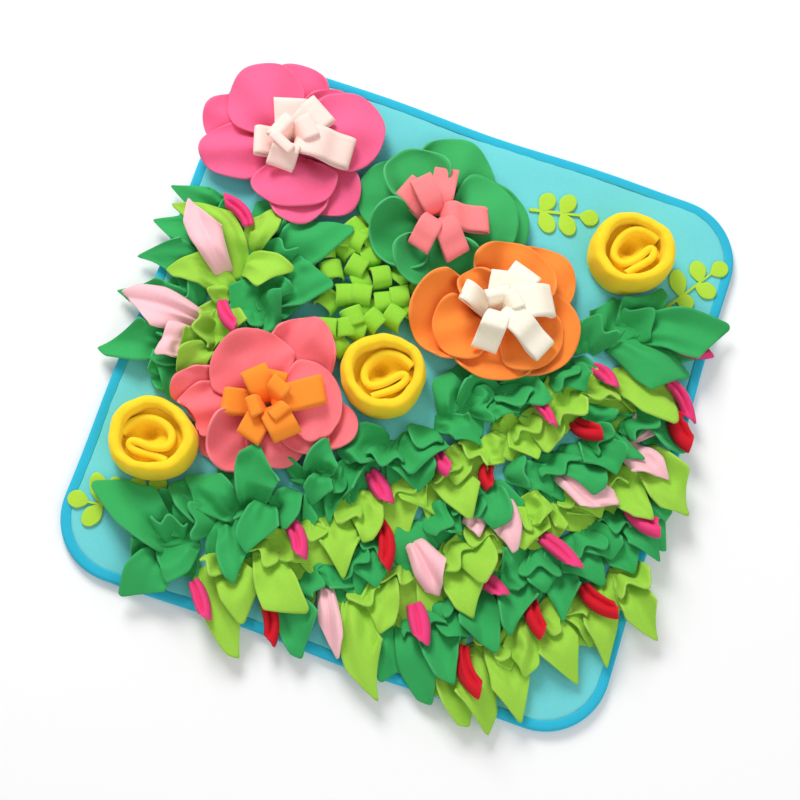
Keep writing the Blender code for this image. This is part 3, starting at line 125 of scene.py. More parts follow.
class NapGroup:
    """The brushed nap of fleece as a shared shader node group."""

    NAME = "fleece_nap"
    INPUTS = {"Colour": "Color", "Edge": "Color", "Mottle": "Float", "EdgeToneAndHighlight": "Float"}
    OUTPUTS = {"Colour": "Color", "Roughness": "Float", "Height": "Float"}
    MOTTLE = {"Scale": 22.0, "Detail": 2.0, "Roughness": 0.5}
    CLUMPS = {"Scale": 420.0, "Detail": 3.0, "Roughness": 0.6}
    FIBRES = {"Scale": 1500.0, "Detail": 2.0, "Roughness": 0.6}
    FIBRE_STRETCH = 3.2
    CLUMP_HEIGHT = 1.3
    TONES = {"From Min": 1.2, "From Max": 2.1, "To Min": -0.5, "To Max": 0.5}
    ROUGHNESS = {"To Min": 0.82, "To Max": 1.0}
    BORDER = 2.2

    @classmethod
    def tree(cls) -> bpy.types.NodeTree:
        """Build the group once.

        Returns:
            The node tree.
        """
        group = bpy.data.node_groups.get(cls.NAME)
        if group is None:
            group = bpy.data.node_groups.new(cls.NAME, "ShaderNodeTree")
            for side, sockets in (("INPUT", cls.INPUTS), ("OUTPUT", cls.OUTPUTS)):
                for name, kind in sockets.items():
                    kind = f"NodeSocket{kind}"
                    group.interface.new_socket(name, in_out=side, socket_type=kind)
            cls._nodes(group)
        return group

    @classmethod
    def _nodes(cls, group: bpy.types.NodeTree) -> None:
        """Wire mottling, clumps and fibres into colour, roughness and height."""
        nodes, link = group.nodes, group.links.new
        entry, leave = nodes.new("NodeGroupInput"), nodes.new("NodeGroupOutput")
        place = add_node(nodes, "TexCoord", {})
        cloth = add_node(nodes, "UVMap", {}, uv_map="cloth")
        stretch = add_node(nodes, "Mapping", {"Scale": (1.0, cls.FIBRE_STRETCH, 1.0)})
        link(cloth.outputs["UV"], stretch.inputs["Vector"])
        mottle, clumps, fibres = (
            add_node(nodes, "TexNoise", values) for values in (cls.MOTTLE, cls.CLUMPS, cls.FIBRES))
        link(place.outputs["Object"], mottle.inputs["Vector"])
        link(place.outputs["Object"], clumps.inputs["Vector"])
        link(stretch.outputs["Vector"], fibres.inputs["Vector"])

        height = add_node(nodes, "Math", {}, operation="MULTIPLY_ADD")
        link(clumps.outputs["Fac"], height.inputs[0])
        height.inputs[1].default_value = cls.CLUMP_HEIGHT
        link(fibres.outputs["Fac"], height.inputs[2])
        link(height.outputs[0], leave.inputs["Height"])

        tone = add_node(nodes, "Math", {}, operation="ADD")
        link(mottle.outputs["Fac"], tone.inputs[0])
        link(height.outputs[0], tone.inputs[1])
        spread = add_node(nodes, "MapRange", cls.TONES)
        link(tone.outputs[0], spread.inputs["Value"])
        amount = add_node(nodes, "Math", {2: 1.0}, operation="MULTIPLY_ADD")
        link(spread.outputs["Result"], amount.inputs[0])
        link(entry.outputs["Mottle"], amount.inputs[1])
        shade = add_node(nodes, "HueSaturation", {})
        link(amount.outputs[0], shade.inputs["Value"])
        link(entry.outputs["Colour"], shade.inputs["Color"])

        # Paler edge colour mixed into the strip along the cut edge: partly the cut fibres' own tone,
        # partly painted highlight.
        edge_tone_and_highlight = add_node(nodes, "Math", {}, operation="MULTIPLY")
        link(cls._border(nodes, link), edge_tone_and_highlight.inputs[0])
        link(entry.outputs["EdgeToneAndHighlight"], edge_tone_and_highlight.inputs[1])
        mix = add_node(nodes, "Mix", {}, data_type="RGBA")
        link(edge_tone_and_highlight.outputs[0], mix.inputs["Factor"])
        link(shade.outputs["Color"], mix.inputs["A"])
        link(entry.outputs["Edge"], mix.inputs["B"])
        link(mix.outputs["Result"], leave.inputs["Colour"])

        rough = add_node(nodes, "MapRange", cls.ROUGHNESS)
        link(clumps.outputs["Fac"], rough.inputs["Value"])
        link(rough.outputs["Result"], leave.inputs["Roughness"])

    @classmethod
    def _border(cls, nodes, link) -> bpy.types.NodeSocket:
        """Mask the strip along a sheet's cut edge, where the paler colour goes, partly as the cut
        fibres' tone and partly as painted highlight.

        Returns:
            The socket that is 1 on the edge and 0 inside.
        """
        place = add_node(nodes, "UVMap", {}, uv_map="edge")
        parts = add_node(nodes, "SeparateXYZ", {})
        link(place.outputs["UV"], parts.inputs["Vector"])
        values = {"From Min": cls.BORDER, "From Max": 0.0}
        fade = add_node(nodes, "MapRange", values, interpolation_type="SMOOTHSTEP")
        link(parts.outputs["X"], fade.inputs["Value"])
        return fade.outputs["Result"]


@dataclass(frozen=True)
class Fleece:
    """A colour of fleece: its nap, a paler cut edge that is partly the cut fibres' tone and partly
    painted highlight, and its soft sheen.
    """

    slot: str
    colour: str
    # edge: the paler colour for the cut edge, partly the cut fibres' tone and partly painted
    # highlight; it also tints the sheen.
    edge: str
    mottle: float = 0.10
    # Share of the paler colour mixed along the cut edge, partly cut-fibre tone and partly painted
    # highlight.
    edge_tone_and_highlight: float = 0.18
    sheen: float = 0.35
    bump: float = 0.30

    def material(self, cut: bool = False) -> bpy.types.Material:
        """Make the material, or find it.

        Args:
            cut: Whether it is for the cut edge.

        Returns:
            The material.
        """
        name = f"{self.slot}_{'cut_edge' if cut else 'fleece'}"
        material = bpy.data.materials.get(name)
        if material is not None:
            return material
        material = bpy.data.materials.new(name)
        material.use_nodes = True
        tree = material.node_tree
        shader = tree.nodes["Principled BSDF"]
        nap = tree.nodes.new("ShaderNodeGroup")
        nap.node_tree = NapGroup.tree()
        base = linear(self.colour)
        pale = linear(self.edge)
        # The cut edge's rim faces are coloured halfway to the paler colour: partly the cut fibres'
        # tone, partly painted highlight on the cloth's thickness.
        rim = tuple(0.5 * (a + b) for a, b in zip(base, pale))
        fill(nap, {"Colour": (*(rim if cut else base), 1.0), "Edge": (*pale, 1.0),
                   "Mottle": self.mottle * (1.6 if cut else 1.0),
                   "EdgeToneAndHighlight": 0.0 if cut else self.edge_tone_and_highlight})
        strength = self.bump * (1.7 if cut else 1.0)
        bump = add_node(tree.nodes, "Bump", {"Strength": strength, "Distance": 0.3 * MM})
        tree.links.new(nap.outputs["Height"], bump.inputs["Height"])
        tree.links.new(nap.outputs["Colour"], shader.inputs["Base Color"])
        tree.links.new(nap.outputs["Roughness"], shader.inputs["Roughness"])
        tree.links.new(bump.outputs["Normal"], shader.inputs["Normal"])
        fill(shader, {"Sheen Weight": self.sheen, "Sheen Roughness": 0.55,
                      "Sheen Tint": (*pale, 1.0), "Specular IOR Level": 0.15})
        return material


PAD_CYAN = Fleece("pad", "70D0D4", "92E0E2", mottle=0.08, sheen=0.25)
BINDING_BLUE = Fleece("binding", "2FB4D2", "62C8DD", mottle=0.08, sheen=0.25)
SPRIG_GREEN = Fleece("sprig", "B0DA42", "C6E468", mottle=0.08, sheen=0.2)
DARK_GREEN = Fleece("dark_leaf", "36A65A", "5ABC7A")
LIGHT_GREEN = Fleece("light_leaf", "9BD046", "B8E06E")
LOOP_GREEN = Fleece("loop_green", "90D03C", "AEE066")
MAGENTA = Fleece("magenta", "E83F7C", "F5709C")
RED = Fleece("red", "D01A2A", "E84C54")
PALE_PINK = Fleece("pale_pink", "F8BFC6", "FDD9DB")
HOT_PINK = Fleece("hot_pink", "F4648F", "FA90AE")
PETAL_GREEN = Fleece("petal_green", "3CAA5E", "62BE80")
ORANGE = Fleece("orange", "FB8B3A", "FDAA68")
CORAL = Fleece("coral", "FA777F", "FE9DA0")
SHELL = Fleece("shell", "FDDAD0", "FFEBE4")
SOFT_CORAL = Fleece("soft_coral", "FB8486", "FFA8A6")
CREAM = Fleece("cream", "FCF2DF", "FFFAF0")
WARM_ORANGE = Fleece("warm_orange", "FD9130", "FFAE60")
YELLOW = Fleece("yellow", "FFD72E", "FFE76C")
# Yellow darkened as painted shade for the curl inside the rose's cup; it shares the slot of YELLOW,
# so once a band is built the curl gets the band's material.
SHADED_YELLOW = Fleece("yellow", "FFC31E", "FFD648")


# ---------------------------------------------------------------------------------------
# Cloth
# ---------------------------------------------------------------------------------------


def direction(heading: float) -> np.ndarray:
    """Unit vector of a heading in degrees."""
    angle = math.radians(heading)
    return np.array([math.cos(angle), math.sin(angle)])


def smooth(value: np.ndarray | float) -> np.ndarray | float:
    """Ease from 0 to 1."""
    share = np.clip(value, 0.0, 1.0)
    return share * share * (3.0 - 2.0 * share)


def left_of(vector: np.ndarray) -> np.ndarray:
    """The vector turned a quarter to the left."""
    return np.stack([-vector[..., 1], vector[..., 0]], axis=-1)


def unit(vector: np.ndarray) -> np.ndarray:
    """The vector at length 1."""
    return vector / np.linalg.norm(vector)


def left_side(line: np.ndarray) -> np.ndarray:
    """Unit vectors to the left of a line of points."""
    ahead = np.gradient(line, axis=0)
    return left_of(ahead / np.linalg.norm(ahead, axis=1)[:, None])


def raised(xy: np.ndarray, z: np.ndarray) -> np.ndarray:
    """Places and their heights as one grid of points."""
    return np.concatenate([xy, z[..., None]], axis=-1)


def disc(rows: int, columns: int) -> tuple[np.ndarray, np.ndarray]:
    """Bend a square grid onto a round one.

    Args:
        rows: Its rows.
        columns: Its columns.

    Returns:
        Places across and along it, from -1 to 1.
    """
    w = np.linspace(-1.0, 1.0, rows)[:, None]
    v = np.linspace(-1.0, 1.0, columns)[None, :]
    return v * np.sqrt(1.0 - 0.5 * w * w), w * np.sqrt(1.0 - 0.5 * v * v)


def nearby(cells: np.ndarray, i: np.ndarray, j: np.ndarray) -> list[np.ndarray]:
    """Values of the cells in and next to some cells."""
    return [cells[i + di, j + dj] for di in (-1, 0, 1) for dj in (-1, 0, 1)]


def blurred(grid: np.ndarray) -> np.ndarray:
    """Blur a grid of heights by one step each way.

    Args:
        grid: Heights by row and column.

    Returns:
        The blurred heights.
    """
    padded = np.pad(grid, 1, mode="edge")
    rows = 0.25 * padded[:-2] + 0.5 * padded[1:-1] + 0.25 * padded[2:]
    return 0.25 * rows[:, :-2] + 0.5 * rows[:, 1:-1] + 0.25 * rows[:, 2:]


def refined(grid: np.ndarray, times: int) -> np.ndarray:
    """Cut each cell of a grid of points into smaller ones.

    Args:
        grid: Points by row and column.
        times: How many steps a cell is cut into each way.

    Returns:
        The finer grid.
    """
    for axis in (0, 1):
        count = grid.shape[axis]
        spots = np.linspace(0, count - 1, times * (count - 1) + 1)
        low = np.minimum(spots.astype(int), count - 2)
        share = (spots - low).reshape([-1 if axis == k else 1 for k in range(3)])
        grid = np.take(grid, low, axis) * (1 - share) + np.take(grid, low + 1, axis) * share
    return grid


class Pile:
    """How high the mat reaches, on a square grid of cells."""

    REACH = 310.0
    CELL = 1.25
    SPREAD = 5
    LOWEST = 3.2
    UNDER = 9.6
    FINER = 3
    COVER = 4
    SQUEEZE = 0.3
    OPEN = 1000.0

    def __init__(self) -> None:
        """Start with an empty floor."""
        size = int(2 * self.REACH / self.CELL) + 1
        self.top = np.zeros((size, size))
        self.order: list[np.ndarray] = []
        self.airy: set[int] = set()

    def cells(self, xy: np.ndarray) -> tuple[np.ndarray, np.ndarray]:
        """Find the cells of some places.

        Args:
            xy: The places.

        Returns:
            Their rows and their columns.
        """
        index = np.rint((xy + self.REACH) / self.CELL).astype(int)
        index = np.clip(index, 2, len(self.top) - 3)
        return index[..., 0], index[..., 1]

    def cover(self, points: np.ndarray) -> None:
        """Raise the cells under some points."""
        points = points.reshape(-1, 3)
        np.maximum.at(self.top, self.cells(points[:, :2]), points[:, 2])

    def ground(self, xy: np.ndarray) -> np.ndarray:
        """Height of the pile near some places.

        Args:
            xy: The places.

        Returns:
            The highest cell within one cell of each.
        """
        return np.max(nearby(self.top, *self.cells(xy)), axis=0)

    def pooled(self, fine: np.ndarray) -> np.ndarray:
        """Find the largest value around each point of a sheet.

        Args:
            fine: Values on the sheet's finer grid.

        Returns:
            The largest value near each point of the sheet's own grid.
        """
        for axis in (0, 1):
            width = [(self.FINER, self.FINER) if k == axis else (0, 0) for k in (0, 1)]
            padded = np.pad(fine, width)
            count = fine.shape[axis]
            shifts = [np.take(padded, np.arange(k, k + count), axis)
                      for k in range(2 * self.FINER + 1)]
            fine = np.max(shifts, axis=0)
        return fine[::self.FINER, ::self.FINER]

    def need(self, grid: np.ndarray, cloth: float) -> np.ndarray:
        """How much each part of a sheet has to rise to clear the pile.

        Args:
            grid: The sheet's upper side.
            cloth: The sheet's thickness.

        Returns:
            The rise that the neighbourhood of each point needs, and 0 where it is clear.
        """
        fine = refined(grid, self.FINER)
        need = self.ground(fine[..., :2]) + GAP + cloth - fine[..., 2]
        return self.pooled(np.maximum(need, 0.0))

    def lay(self, grid: np.ndarray, free: np.ndarray, cloth: float = CLOTH) -> np.ndarray:
        """Drape a sheet over the pile and add it to the pile without its folds.

        Args:
            grid: The sheet's upper side before it is lifted.
            free: For each point 0 where it is sewn down and 1 where it lies on top.
            cloth: The sheet's thickness.

        Returns:
            The sheet's upper side where it lies, which `settle` still presses down.
        """
        flat = grid.copy()
        flat[..., 2] = grid[..., 2].mean(axis=1)[:, None]
        need = self.need(flat, cloth) * free
        lift = need
        for _ in range(self.SPREAD):
            lift = np.maximum(need, blurred(lift))
        lift = blurred(lift)
        laid = grid.copy()
        laid[..., 2] = np.maximum(laid[..., 2] + lift, self.LOWEST)
        flat[..., 2] += lift
        self.cover(refined(flat, self.COVER))
        self.order.append(laid)
        return laid

    def tuck(self, grid: np.ndarray, presses: bool = True) -> np.ndarray:
        """Add a sheet that is squeezed in under those that follow.

        Args:
            grid: The sheet's upper side.
            presses: Whether it presses down those that came before.

        Returns:
            The same, which `settle` still presses down.
        """
        self.order.append(grid)
        if not presses:
            self.airy.add(id(grid))
        return grid

    def settle(self) -> None:
        """Press every sheet down under those that were laid over it."""
        ceiling = np.full_like(self.top, self.OPEN)
        for grid in reversed(self.order):
            fine = refined(grid, self.FINER)
            room = np.min(nearby(ceiling, *self.cells(fine[..., :2])), axis=0)
            push = self.pooled(np.maximum(fine[..., 2] - room + self.SQUEEZE, 0.0))
            push = np.maximum(push, blurred(push))
            lowest = np.minimum(grid[..., 2], self.UNDER)
            spare = grid[..., 2] - lowest
            grid[..., 2] -= spare * (1.0 - np.exp(-push / np.maximum(spare, 0.01)))
            if id(grid) in self.airy:
                continue
            fine = refined(grid, self.COVER).reshape(-1, 3)
            np.minimum.at(ceiling, self.cells(fine[:, :2]), fine[:, 2] - CLOTH)


class Cloth:
    """Sheets of one fleece that become one piece."""

    CREASE = 0.75
    SOFT_FROM = 38.0
    SOFT_REACH = 20.0

    def __init__(self, name: str, fleece: Fleece, thickness: float = CLOTH,
                 grids: tuple[np.ndarray, ...] | list[np.ndarray] = ()) -> None:
        """Start a piece.

        Args:
            name: The piece's name.
            fleece: Its fleece.
            thickness: Its cloth's thickness.
            grids: Its first sheets.
        """
        self.name = name
        self.fleece = fleece
        self.thickness = thickness
        self.pressed = True
        self.sheets: list[tuple[np.ndarray, bool]] = [(grid, False) for grid in grids]
        self.area = 0.0
        self.length = 0.0
        self.longest = 0.0

    def add(self, grid: np.ndarray, ring: bool = False) -> None:
        """Add a sheet.

        Args:
            grid: Its points by row and column; its upper side is on the left of a row.
            ring: Whether its last row joins its first one.
        """
        self.sheets.append((grid, ring))

    def press(self, grid: np.ndarray) -> np.ndarray:
        """Press a sheet's high parts down softly, as its own weight does.

        Args:
            grid: Its points.

        Returns:
            The pressed points.
        """
        if not self.pressed:
            return grid
        above = np.maximum(grid[..., 2] - self.SOFT_FROM, 0.0)
        pressed = grid.copy()
        pressed[..., 2] -= above - self.SOFT_REACH * (1.0 - np.exp(-above / self.SOFT_REACH))
        return pressed

    def unwrap(self, closed: np.ndarray, ring: bool) -> tuple[np.ndarray, np.ndarray]:
        """Lay a sheet's cells out flat.

        Args:
            closed: Its points; a ring's last row repeats its first one.
            ring: Whether it is a ring.

        Returns:
            For each corner of each cell its place on the cloth in metres, and how many
            millimetres it is away from the cut edge.
        """
        rows, columns = closed.shape[:2]
        along = np.linalg.norm(np.diff(closed, axis=0), axis=2)
        across = np.linalg.norm(np.diff(closed, axis=1), axis=2)
        u = np.concatenate([np.zeros((1, columns)), np.cumsum(along, axis=0)])
        v = np.concatenate([np.zeros((rows, 1)), np.cumsum(across, axis=1)], axis=1)
        v = v - 0.5 * v[:, -1:]
        reach = 0.5 * across.sum(axis=1)[:, None] - np.abs(v)
        if not ring:
            reach = np.minimum(reach, np.minimum(u, u[-1:] - u))
        length = float(u[-1].mean()) * MM
        self.length += length
        self.longest = max(self.longest, length)
        r, c = np.meshgrid(np.arange(rows - 1), np.arange(columns - 1), indexing="ij")
        spots = [(r, c), (r + 1, c), (r + 1, c + 1), (r, c + 1)]
        cloth = np.stack([np.stack([u[s], v[s]], -1) for s in spots], 2) * MM
        edge = np.stack([np.stack([reach[s], reach[s]], -1) for s in spots], 2)
        return cloth.reshape(-1, 2), edge.reshape(-1, 2)

    @staticmethod
    def _area(grid: np.ndarray) -> float:
        """Area of a grid of points."""
        one = np.cross(grid[1:, 1:] - grid[:-1, :-1], grid[1:, :-1] - grid[:-1, 1:])
        return 0.5 * np.linalg.norm(one, axis=-1).sum()

    def build(self, offset: float = -1.0) -> bpy.types.Object:
        """Make the piece.

        Args:
            offset: Where the thickness goes: -1 below the points, 0 to both sides.

        Returns:
            The piece.
        """
        points, quads, cloth_uv, edge_uv = [], [], [], []
        count = 0
        for grid, ring in self.sheets:
            grid = self.press(grid)
            index = np.arange(grid[..., 0].size).reshape(grid.shape[:2]) + count
            closed = grid
            if ring:
                index = np.concatenate([index, index[:1]])
                closed = np.concatenate([grid, grid[:1]])
            quads.append(np.stack(
                [index[:-1, :-1], index[1:, :-1], index[1:, 1:], index[:-1, 1:]], -1))
            self.area += float(self._area(closed)) * MM * MM
            cloth, edge = self.unwrap(closed, ring)
            cloth_uv.append(cloth)
            edge_uv.append(edge)
            points.append(grid.reshape(-1, 3) * MM)
            count += len(points[-1])
        mesh = bpy.data.meshes.new(self.name)
        quads = np.concatenate([part.reshape(-1, 4) for part in quads])
        mesh.from_pydata(np.concatenate(points).tolist(), [], quads.tolist())
        for name, values in (("cloth", cloth_uv), ("edge", edge_uv)):
            layer = mesh.uv_layers.new(name=name)
            layer.data.foreach_set("uv", np.concatenate(values).ravel())
        mesh.materials.append(self.fleece.material())
        mesh.materials.append(self.fleece.material(cut=True))
        mesh.shade_smooth()
        piece = bpy.data.objects.new(self.name, mesh)
        bpy.context.scene.collection.objects.link(piece)
        wall = piece.modifiers.new("thickness", "SOLIDIFY")
        wall.thickness = self.thickness * MM
        wall.offset = offset
        wall.material_offset_rim = 1
        wall.edge_crease_inner = self.CREASE
        wall.edge_crease_outer = self.CREASE
        finish = piece.modifiers.new("softness", "SUBSURF")
        finish.levels = finish.render_levels = 1
        finish.use_limit_surface = False
        return piece


    def hang(self, node: str,
             offset: float = -1.0) -> None:
        """Make the piece and put it in the place of its solid.

        Args:
            node: The solid that it stands for.
            offset: Where the thickness goes.
        """
        piece = self.build(offset)
        dress(piece, node)


def dress(piece: bpy.types.Object, node: str) -> None:
    """Put a piece in the place of its solid.

    Args:
        piece: The piece.
        node: The solid that it stands for.
    """
    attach(piece, BODY)
    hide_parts(node)
    top = max(vertex.co.z for vertex in piece.data.vertices) / MM
    LOG.info("%s: %d faces, %.1f mm high", piece.name, len(piece.data.polygons), top)


def away_from_roses(xy: np.ndarray) -> np.ndarray:
    """Bend a sheet round the rolled roses.

    Args:
        xy: Places of the sheet.

    Returns:
        The places moved out of the roses.
    """
    moved = np.array(xy, dtype=float)
    for rose in ROSES:
        offset = moved - (rose.x, rose.y)
        distance = np.linalg.norm(offset, axis=-1)
        scale = np.maximum(ROSE_KEEP_OUT / np.maximum(distance, 1.0), 1.0)
        moved = (rose.x, rose.y) + offset * scale[..., None]
    return moved


# ---------------------------------------------------------------------------------------
# Leaves
# ---------------------------------------------------------------------------------------


@dataclass(frozen=True)
class Leaf:
    """A cut leaf of fleece, sewn down at its root.

    Attributes:
        root: Place of the root along the row's seam.
        tip_x: Place of the tip.
        tip_y: Place of the tip.
        width: Width of the cut.
        bow: How far its middle bulges to the left.
        fold: Height of the ridge along it, or depth of a valley if negative.
        rise: How high it arches over its root.
        end: 1 for a whole point, less for a cut one.
        late: Whether it is laid after the flowers.
    """

    root: float
    tip_x: float
    tip_y: float
    width: float
    bow: float = 0.0
    fold: float = 4.0
    rise: float = 9.0
    end: float = 1.0
    late: int = 0


@dataclass
class LeafRow:
    """Leaves of one colour, sewn down along one seam."""

    name: str
    fleece: Fleece
    x: float
    y: float
    heading: float
    leaves: list[Leaf]
    cut: Cut = Cut.GATHERED
    spare: float = 0.0
    under: float = 0.9
    laid: list[np.ndarray] = field(default_factory=list)

    STATIONS = 14
    COLUMNS = 11
    FILL_STATIONS = 9
    FILL_COLUMNS = 8
    SEWN = 0.12
    PACKED = 0.45
    RISE = 1.1
    PLEAT_COLUMNS = 15
    BUD_STATIONS = 12
    BUD_COLUMNS = 17
    BUD_HEIGHT = 9.5
    BUD_LENGTH = 36.0
    BUD_SHARE = 0.28
    FILL_SEED = 500
    LEAF_SEED = 1000
    BLUNT = 0.93
    WIDE_FROM = 0.52

    def root(self, along: float) -> np.ndarray:
        """Place on the seam."""
        return np.array([self.x, self.y]) + direction(self.heading) * along

    def half_width(self, leaf: Leaf, u: np.ndarray, taper: float) -> np.ndarray:
        """Half the width of a leaf from root to tip.

        Args:
            leaf: The leaf.
            u: Shares of its length.
            taper: Share of its width that it loses towards the tip.

        Returns:
            Half widths.
        """
        full = 0.5 * leaf.width
        neck = 0.32 * full + 3.0
        opened = neck + (full - neck) * np.float_power(np.minimum(u / self.WIDE_FROM, 1.0), 0.9)
        return opened - full * taper * np.maximum((u - self.WIDE_FROM) / (1 - self.WIDE_FROM), 0.0)

    def middle(self, leaf: Leaf, u: np.ndarray, aside: float) -> tuple[np.ndarray, np.ndarray]:
        """Middle line of a leaf and the way to its left.

        Args:
            leaf: The leaf.
            u: Shares of its length.
            aside: How far its point lies to the left of its middle.

        Returns:
            Points of the line, and unit vectors to the left of it.
        """
        root = self.root(leaf.root)
        chord = np.array([leaf.tip_x, leaf.tip_y]) - root
        left = left_of(unit(chord))
        bulge = 4.0 * u * (1.0 - u) * leaf.bow - aside * np.float_power(u, 1.5)
        middle = root + u[:, None] * chord + bulge[:, None] * left
        return middle, left_side(middle)

    def sheet(self, leaf: Leaf, rng: np.random.Generator, rows: int, columns: int) -> np.ndarray:
        """Shape a gathered or pleated leaf before it is laid.

        Args:
            leaf: The leaf.
            rng: Source of its unevenness.
            rows: Points from root to tip.
            columns: Points from side to side.

        Returns:
            Grid of points on its upper side.
        """
        u = np.linspace(0.0, 1.0, rows)
        v = np.linspace(-1.0, 1.0, columns)
        blunt = leaf.end < self.BLUNT
        point = v[rng.integers(2, columns - 2)]
        if blunt:
            point = v[rng.choice([1, columns - 2])]
        taper = rng.uniform(0.0, 0.15) if blunt else rng.uniform(0.0, 0.25)
        cut = rng.uniform(0.22, 0.36) if blunt else rng.uniform(0.42, 0.58)
        half = self.half_width(leaf, u, taper)
        middle, side = self.middle(leaf, u, point * half[-1])
        reach = 1.0 - cut * np.abs(v - point) / (1.0 + abs(point))
        shares = u[:, None] * (1.0 + (reach - 1.0) * u[:, None])
        spots = np.stack([np.interp(shares, u, middle[:, k]) for k in (0, 1)], -1)
        sides = np.stack([np.interp(shares, u, side[:, k]) for k in (0, 1)], -1)
        width = np.interp(shares, u, half)
        xy = spots + (width * v)[..., None] * sides

        z = ROOT_FLOOR + (SHEET_FLOOR - ROOT_FLOOR) * smooth(shares / self.SEWN)
        arch = self.RISE * leaf.rise + 4.0
        z = z + arch * np.sin(np.pi * np.float_power(np.clip(shares, 0, 1), 0.7))
        z = z + self.folds(leaf, rng, shares, np.broadcast_to(v, shares.shape))
        tilt = 0.13 * leaf.width * rng.uniform(-1.0, 1.0)
        z = z + tilt * v * smooth(shares / 0.6)
        z = z + rng.uniform(-0.5, 4.0) * shares ** 3
        grid = raised(xy, z)
        grid[1:, :, :2] = away_from_roses(grid[1:, :, :2])
        return grid

    def folds(self, leaf: Leaf, rng: np.random.Generator, u: np.ndarray,
              v: np.ndarray) -> np.ndarray:
        """Heights of the folds that the gathered root makes.

        Args:
            leaf: The leaf.
            rng: Source of their unevenness.
            u: Shares of the leaf's length, for each point.
            v: Places from side to side, for each point.

        Returns:
            Heights.
        """
        strength = (0.06 * leaf.width + 0.5 * abs(leaf.fold)) * rng.uniform(0.85, 1.25)
        shift = rng.uniform(-0.35, 0.35)
        place = v - shift * (1.0 - v * v)
        kind = rng.integers(0, 3)
        if self.cut is Cut.PLEATED:
            wave = 2.0 * np.float_power(np.abs(np.sin(np.pi * place)), 0.7) - 1.0
            fade = 1.0 - 0.4 * u
            strength = 0.7 * strength
        elif leaf.fold < 0 or kind == 0:
            wave, fade = 2.0 * np.float_power(np.abs(place), 1.1) - 1.0, 1.0 - 0.6 * smooth(u)
        elif kind == 1:
            wave, fade = 1.0 - 2.0 * np.float_power(np.abs(place), 1.2), 1.0 - 0.7 * smooth(u)
        else:
            wave, fade = np.cos(1.6 * np.pi * place + 0.9), 1.0 - 0.7 * smooth(u / 0.9)
        gather = 1.8 * np.cos(3.0 * np.pi * v + 9.0 * shift) * np.clip(1.0 - u / 0.7, 0, 1) ** 2
        curl = rng.uniform(-0.05, 0.12) * leaf.width * v * v * smooth(u / 0.5)
        return (strength * wave * fade + gather) * smooth(u / 0.1) + curl

    def standing(self, leaf: Leaf, rng: np.random.Generator) -> np.ndarray:
        """Shape a short leaf that stands up from the seam in a wave.

        Args:
            leaf: The leaf.
            rng: Source of its unevenness.

        Returns:
            Grid of points on its upper side.
        """
        root = self.root(leaf.root)
        chord = np.array([leaf.tip_x, leaf.tip_y]) - root
        out = unit(chord)
        u = np.linspace(0.0, 1.0, self.FILL_STATIONS)[:, None]
        v = np.linspace(-1.0, 1.0, self.FILL_COLUMNS)[None, :]
        point = rng.uniform(-0.8, 0.8)
        shares = u * (1.0 - rng.uniform(0.2, 0.45) * u * np.abs(v - point) / (1 + abs(point)))
        aside = 0.5 * leaf.width * (0.35 + 0.65 * np.minimum(shares / 0.6, 1.0)) * v
        phase = rng.uniform(0, 2 * np.pi)
        wave = leaf.fold * np.cos(rng.uniform(1.1, 1.7) * np.pi * v + phase) * smooth(shares / 0.5)
        along = np.linalg.norm(chord) * np.float_power(shares, 1.3) + wave
        xy = root + along[..., None] * out + aside[..., None] * left_of(out)
        z = ROOT_FLOOR + leaf.rise * smooth(shares / 1.15) + 0.3 * wave
        return raised(away_from_roses(xy), np.maximum(z, ROOT_FLOOR))

    def bud(self, leaf: Leaf, pile: Pile, rng: np.random.Generator) -> np.ndarray:
        """Shape a strip that is folded into a tight bud, and lay it on the pile.

        Args:
            leaf: The leaf.
            pile: What lies on the mat already.
            rng: Source of its unevenness.

        Returns:
            Grid of points on its upper side.
        """
        tip = np.array([leaf.tip_x, leaf.tip_y])
        chord = tip - self.root(leaf.root)
        length = min(np.linalg.norm(chord), self.BUD_LENGTH * rng.uniform(0.9, 1.15))
        out = unit(chord)
        hand = 1.0 if rng.random() < 0.5 else -1.0
        u = np.linspace(0.0, 1.0, self.BUD_STATIONS)[:, None]
        v = np.linspace(-1.0, 1.0, self.BUD_COLUMNS)[None, :]
        bend = hand * rng.uniform(0.04, 0.16) * length
        middle = tip - (1.0 - u) * length * out + bend * (4 * u * (1 - u) - 0.3) * left_of(out)
        side = left_side(middle)
        body = 0.5 + 0.5 * np.float_power(np.sin(np.pi * np.clip(0.12 + 0.8 * u, 0, 1)), 0.8)
        half = self.BUD_SHARE * leaf.width * body
        slant = hand * 0.12 * length * v * u ** 2
        xy = middle[:, None] + (half * v)[..., None] * side[:, None] + slant[..., None] * out
        place = v + hand * 0.2 * (1 - v * v) * np.sin(2.4 * u + rng.uniform(-0.5, 0.5))
        joined = smooth((u - rng.uniform(0.74, 0.84)) / 0.2)
        ridges = np.sqrt(np.maximum(1.0 - (2.0 * np.abs(place) - 1.0) ** 2, 0.0))
        ridges = ridges + (np.sqrt(1.0 - 0.9 * v * v) - ridges) * joined
        stand = self.BUD_HEIGHT * (0.7 + 0.3 * smooth(u / 0.4)) * (1 - 0.1 * smooth((u - 0.8) / 0.2))
        z = stand * (0.1 + 0.9 * ridges)
        xy = away_from_roses(xy)
        line = np.polyval(np.polyfit(u[:, 0], pile.ground(xy).mean(axis=1), 1), u)
        z = z + np.maximum(line, PAD_TOP) + GAP
        grid = raised(xy, z)
        need = pile.need(grid, 0.0)
        z = z + np.percentile(need, 60) + 2.0 * u ** 2
        grid = raised(xy, z)
        pile.cover(refined(grid, 3))
        return pile.tuck(grid)

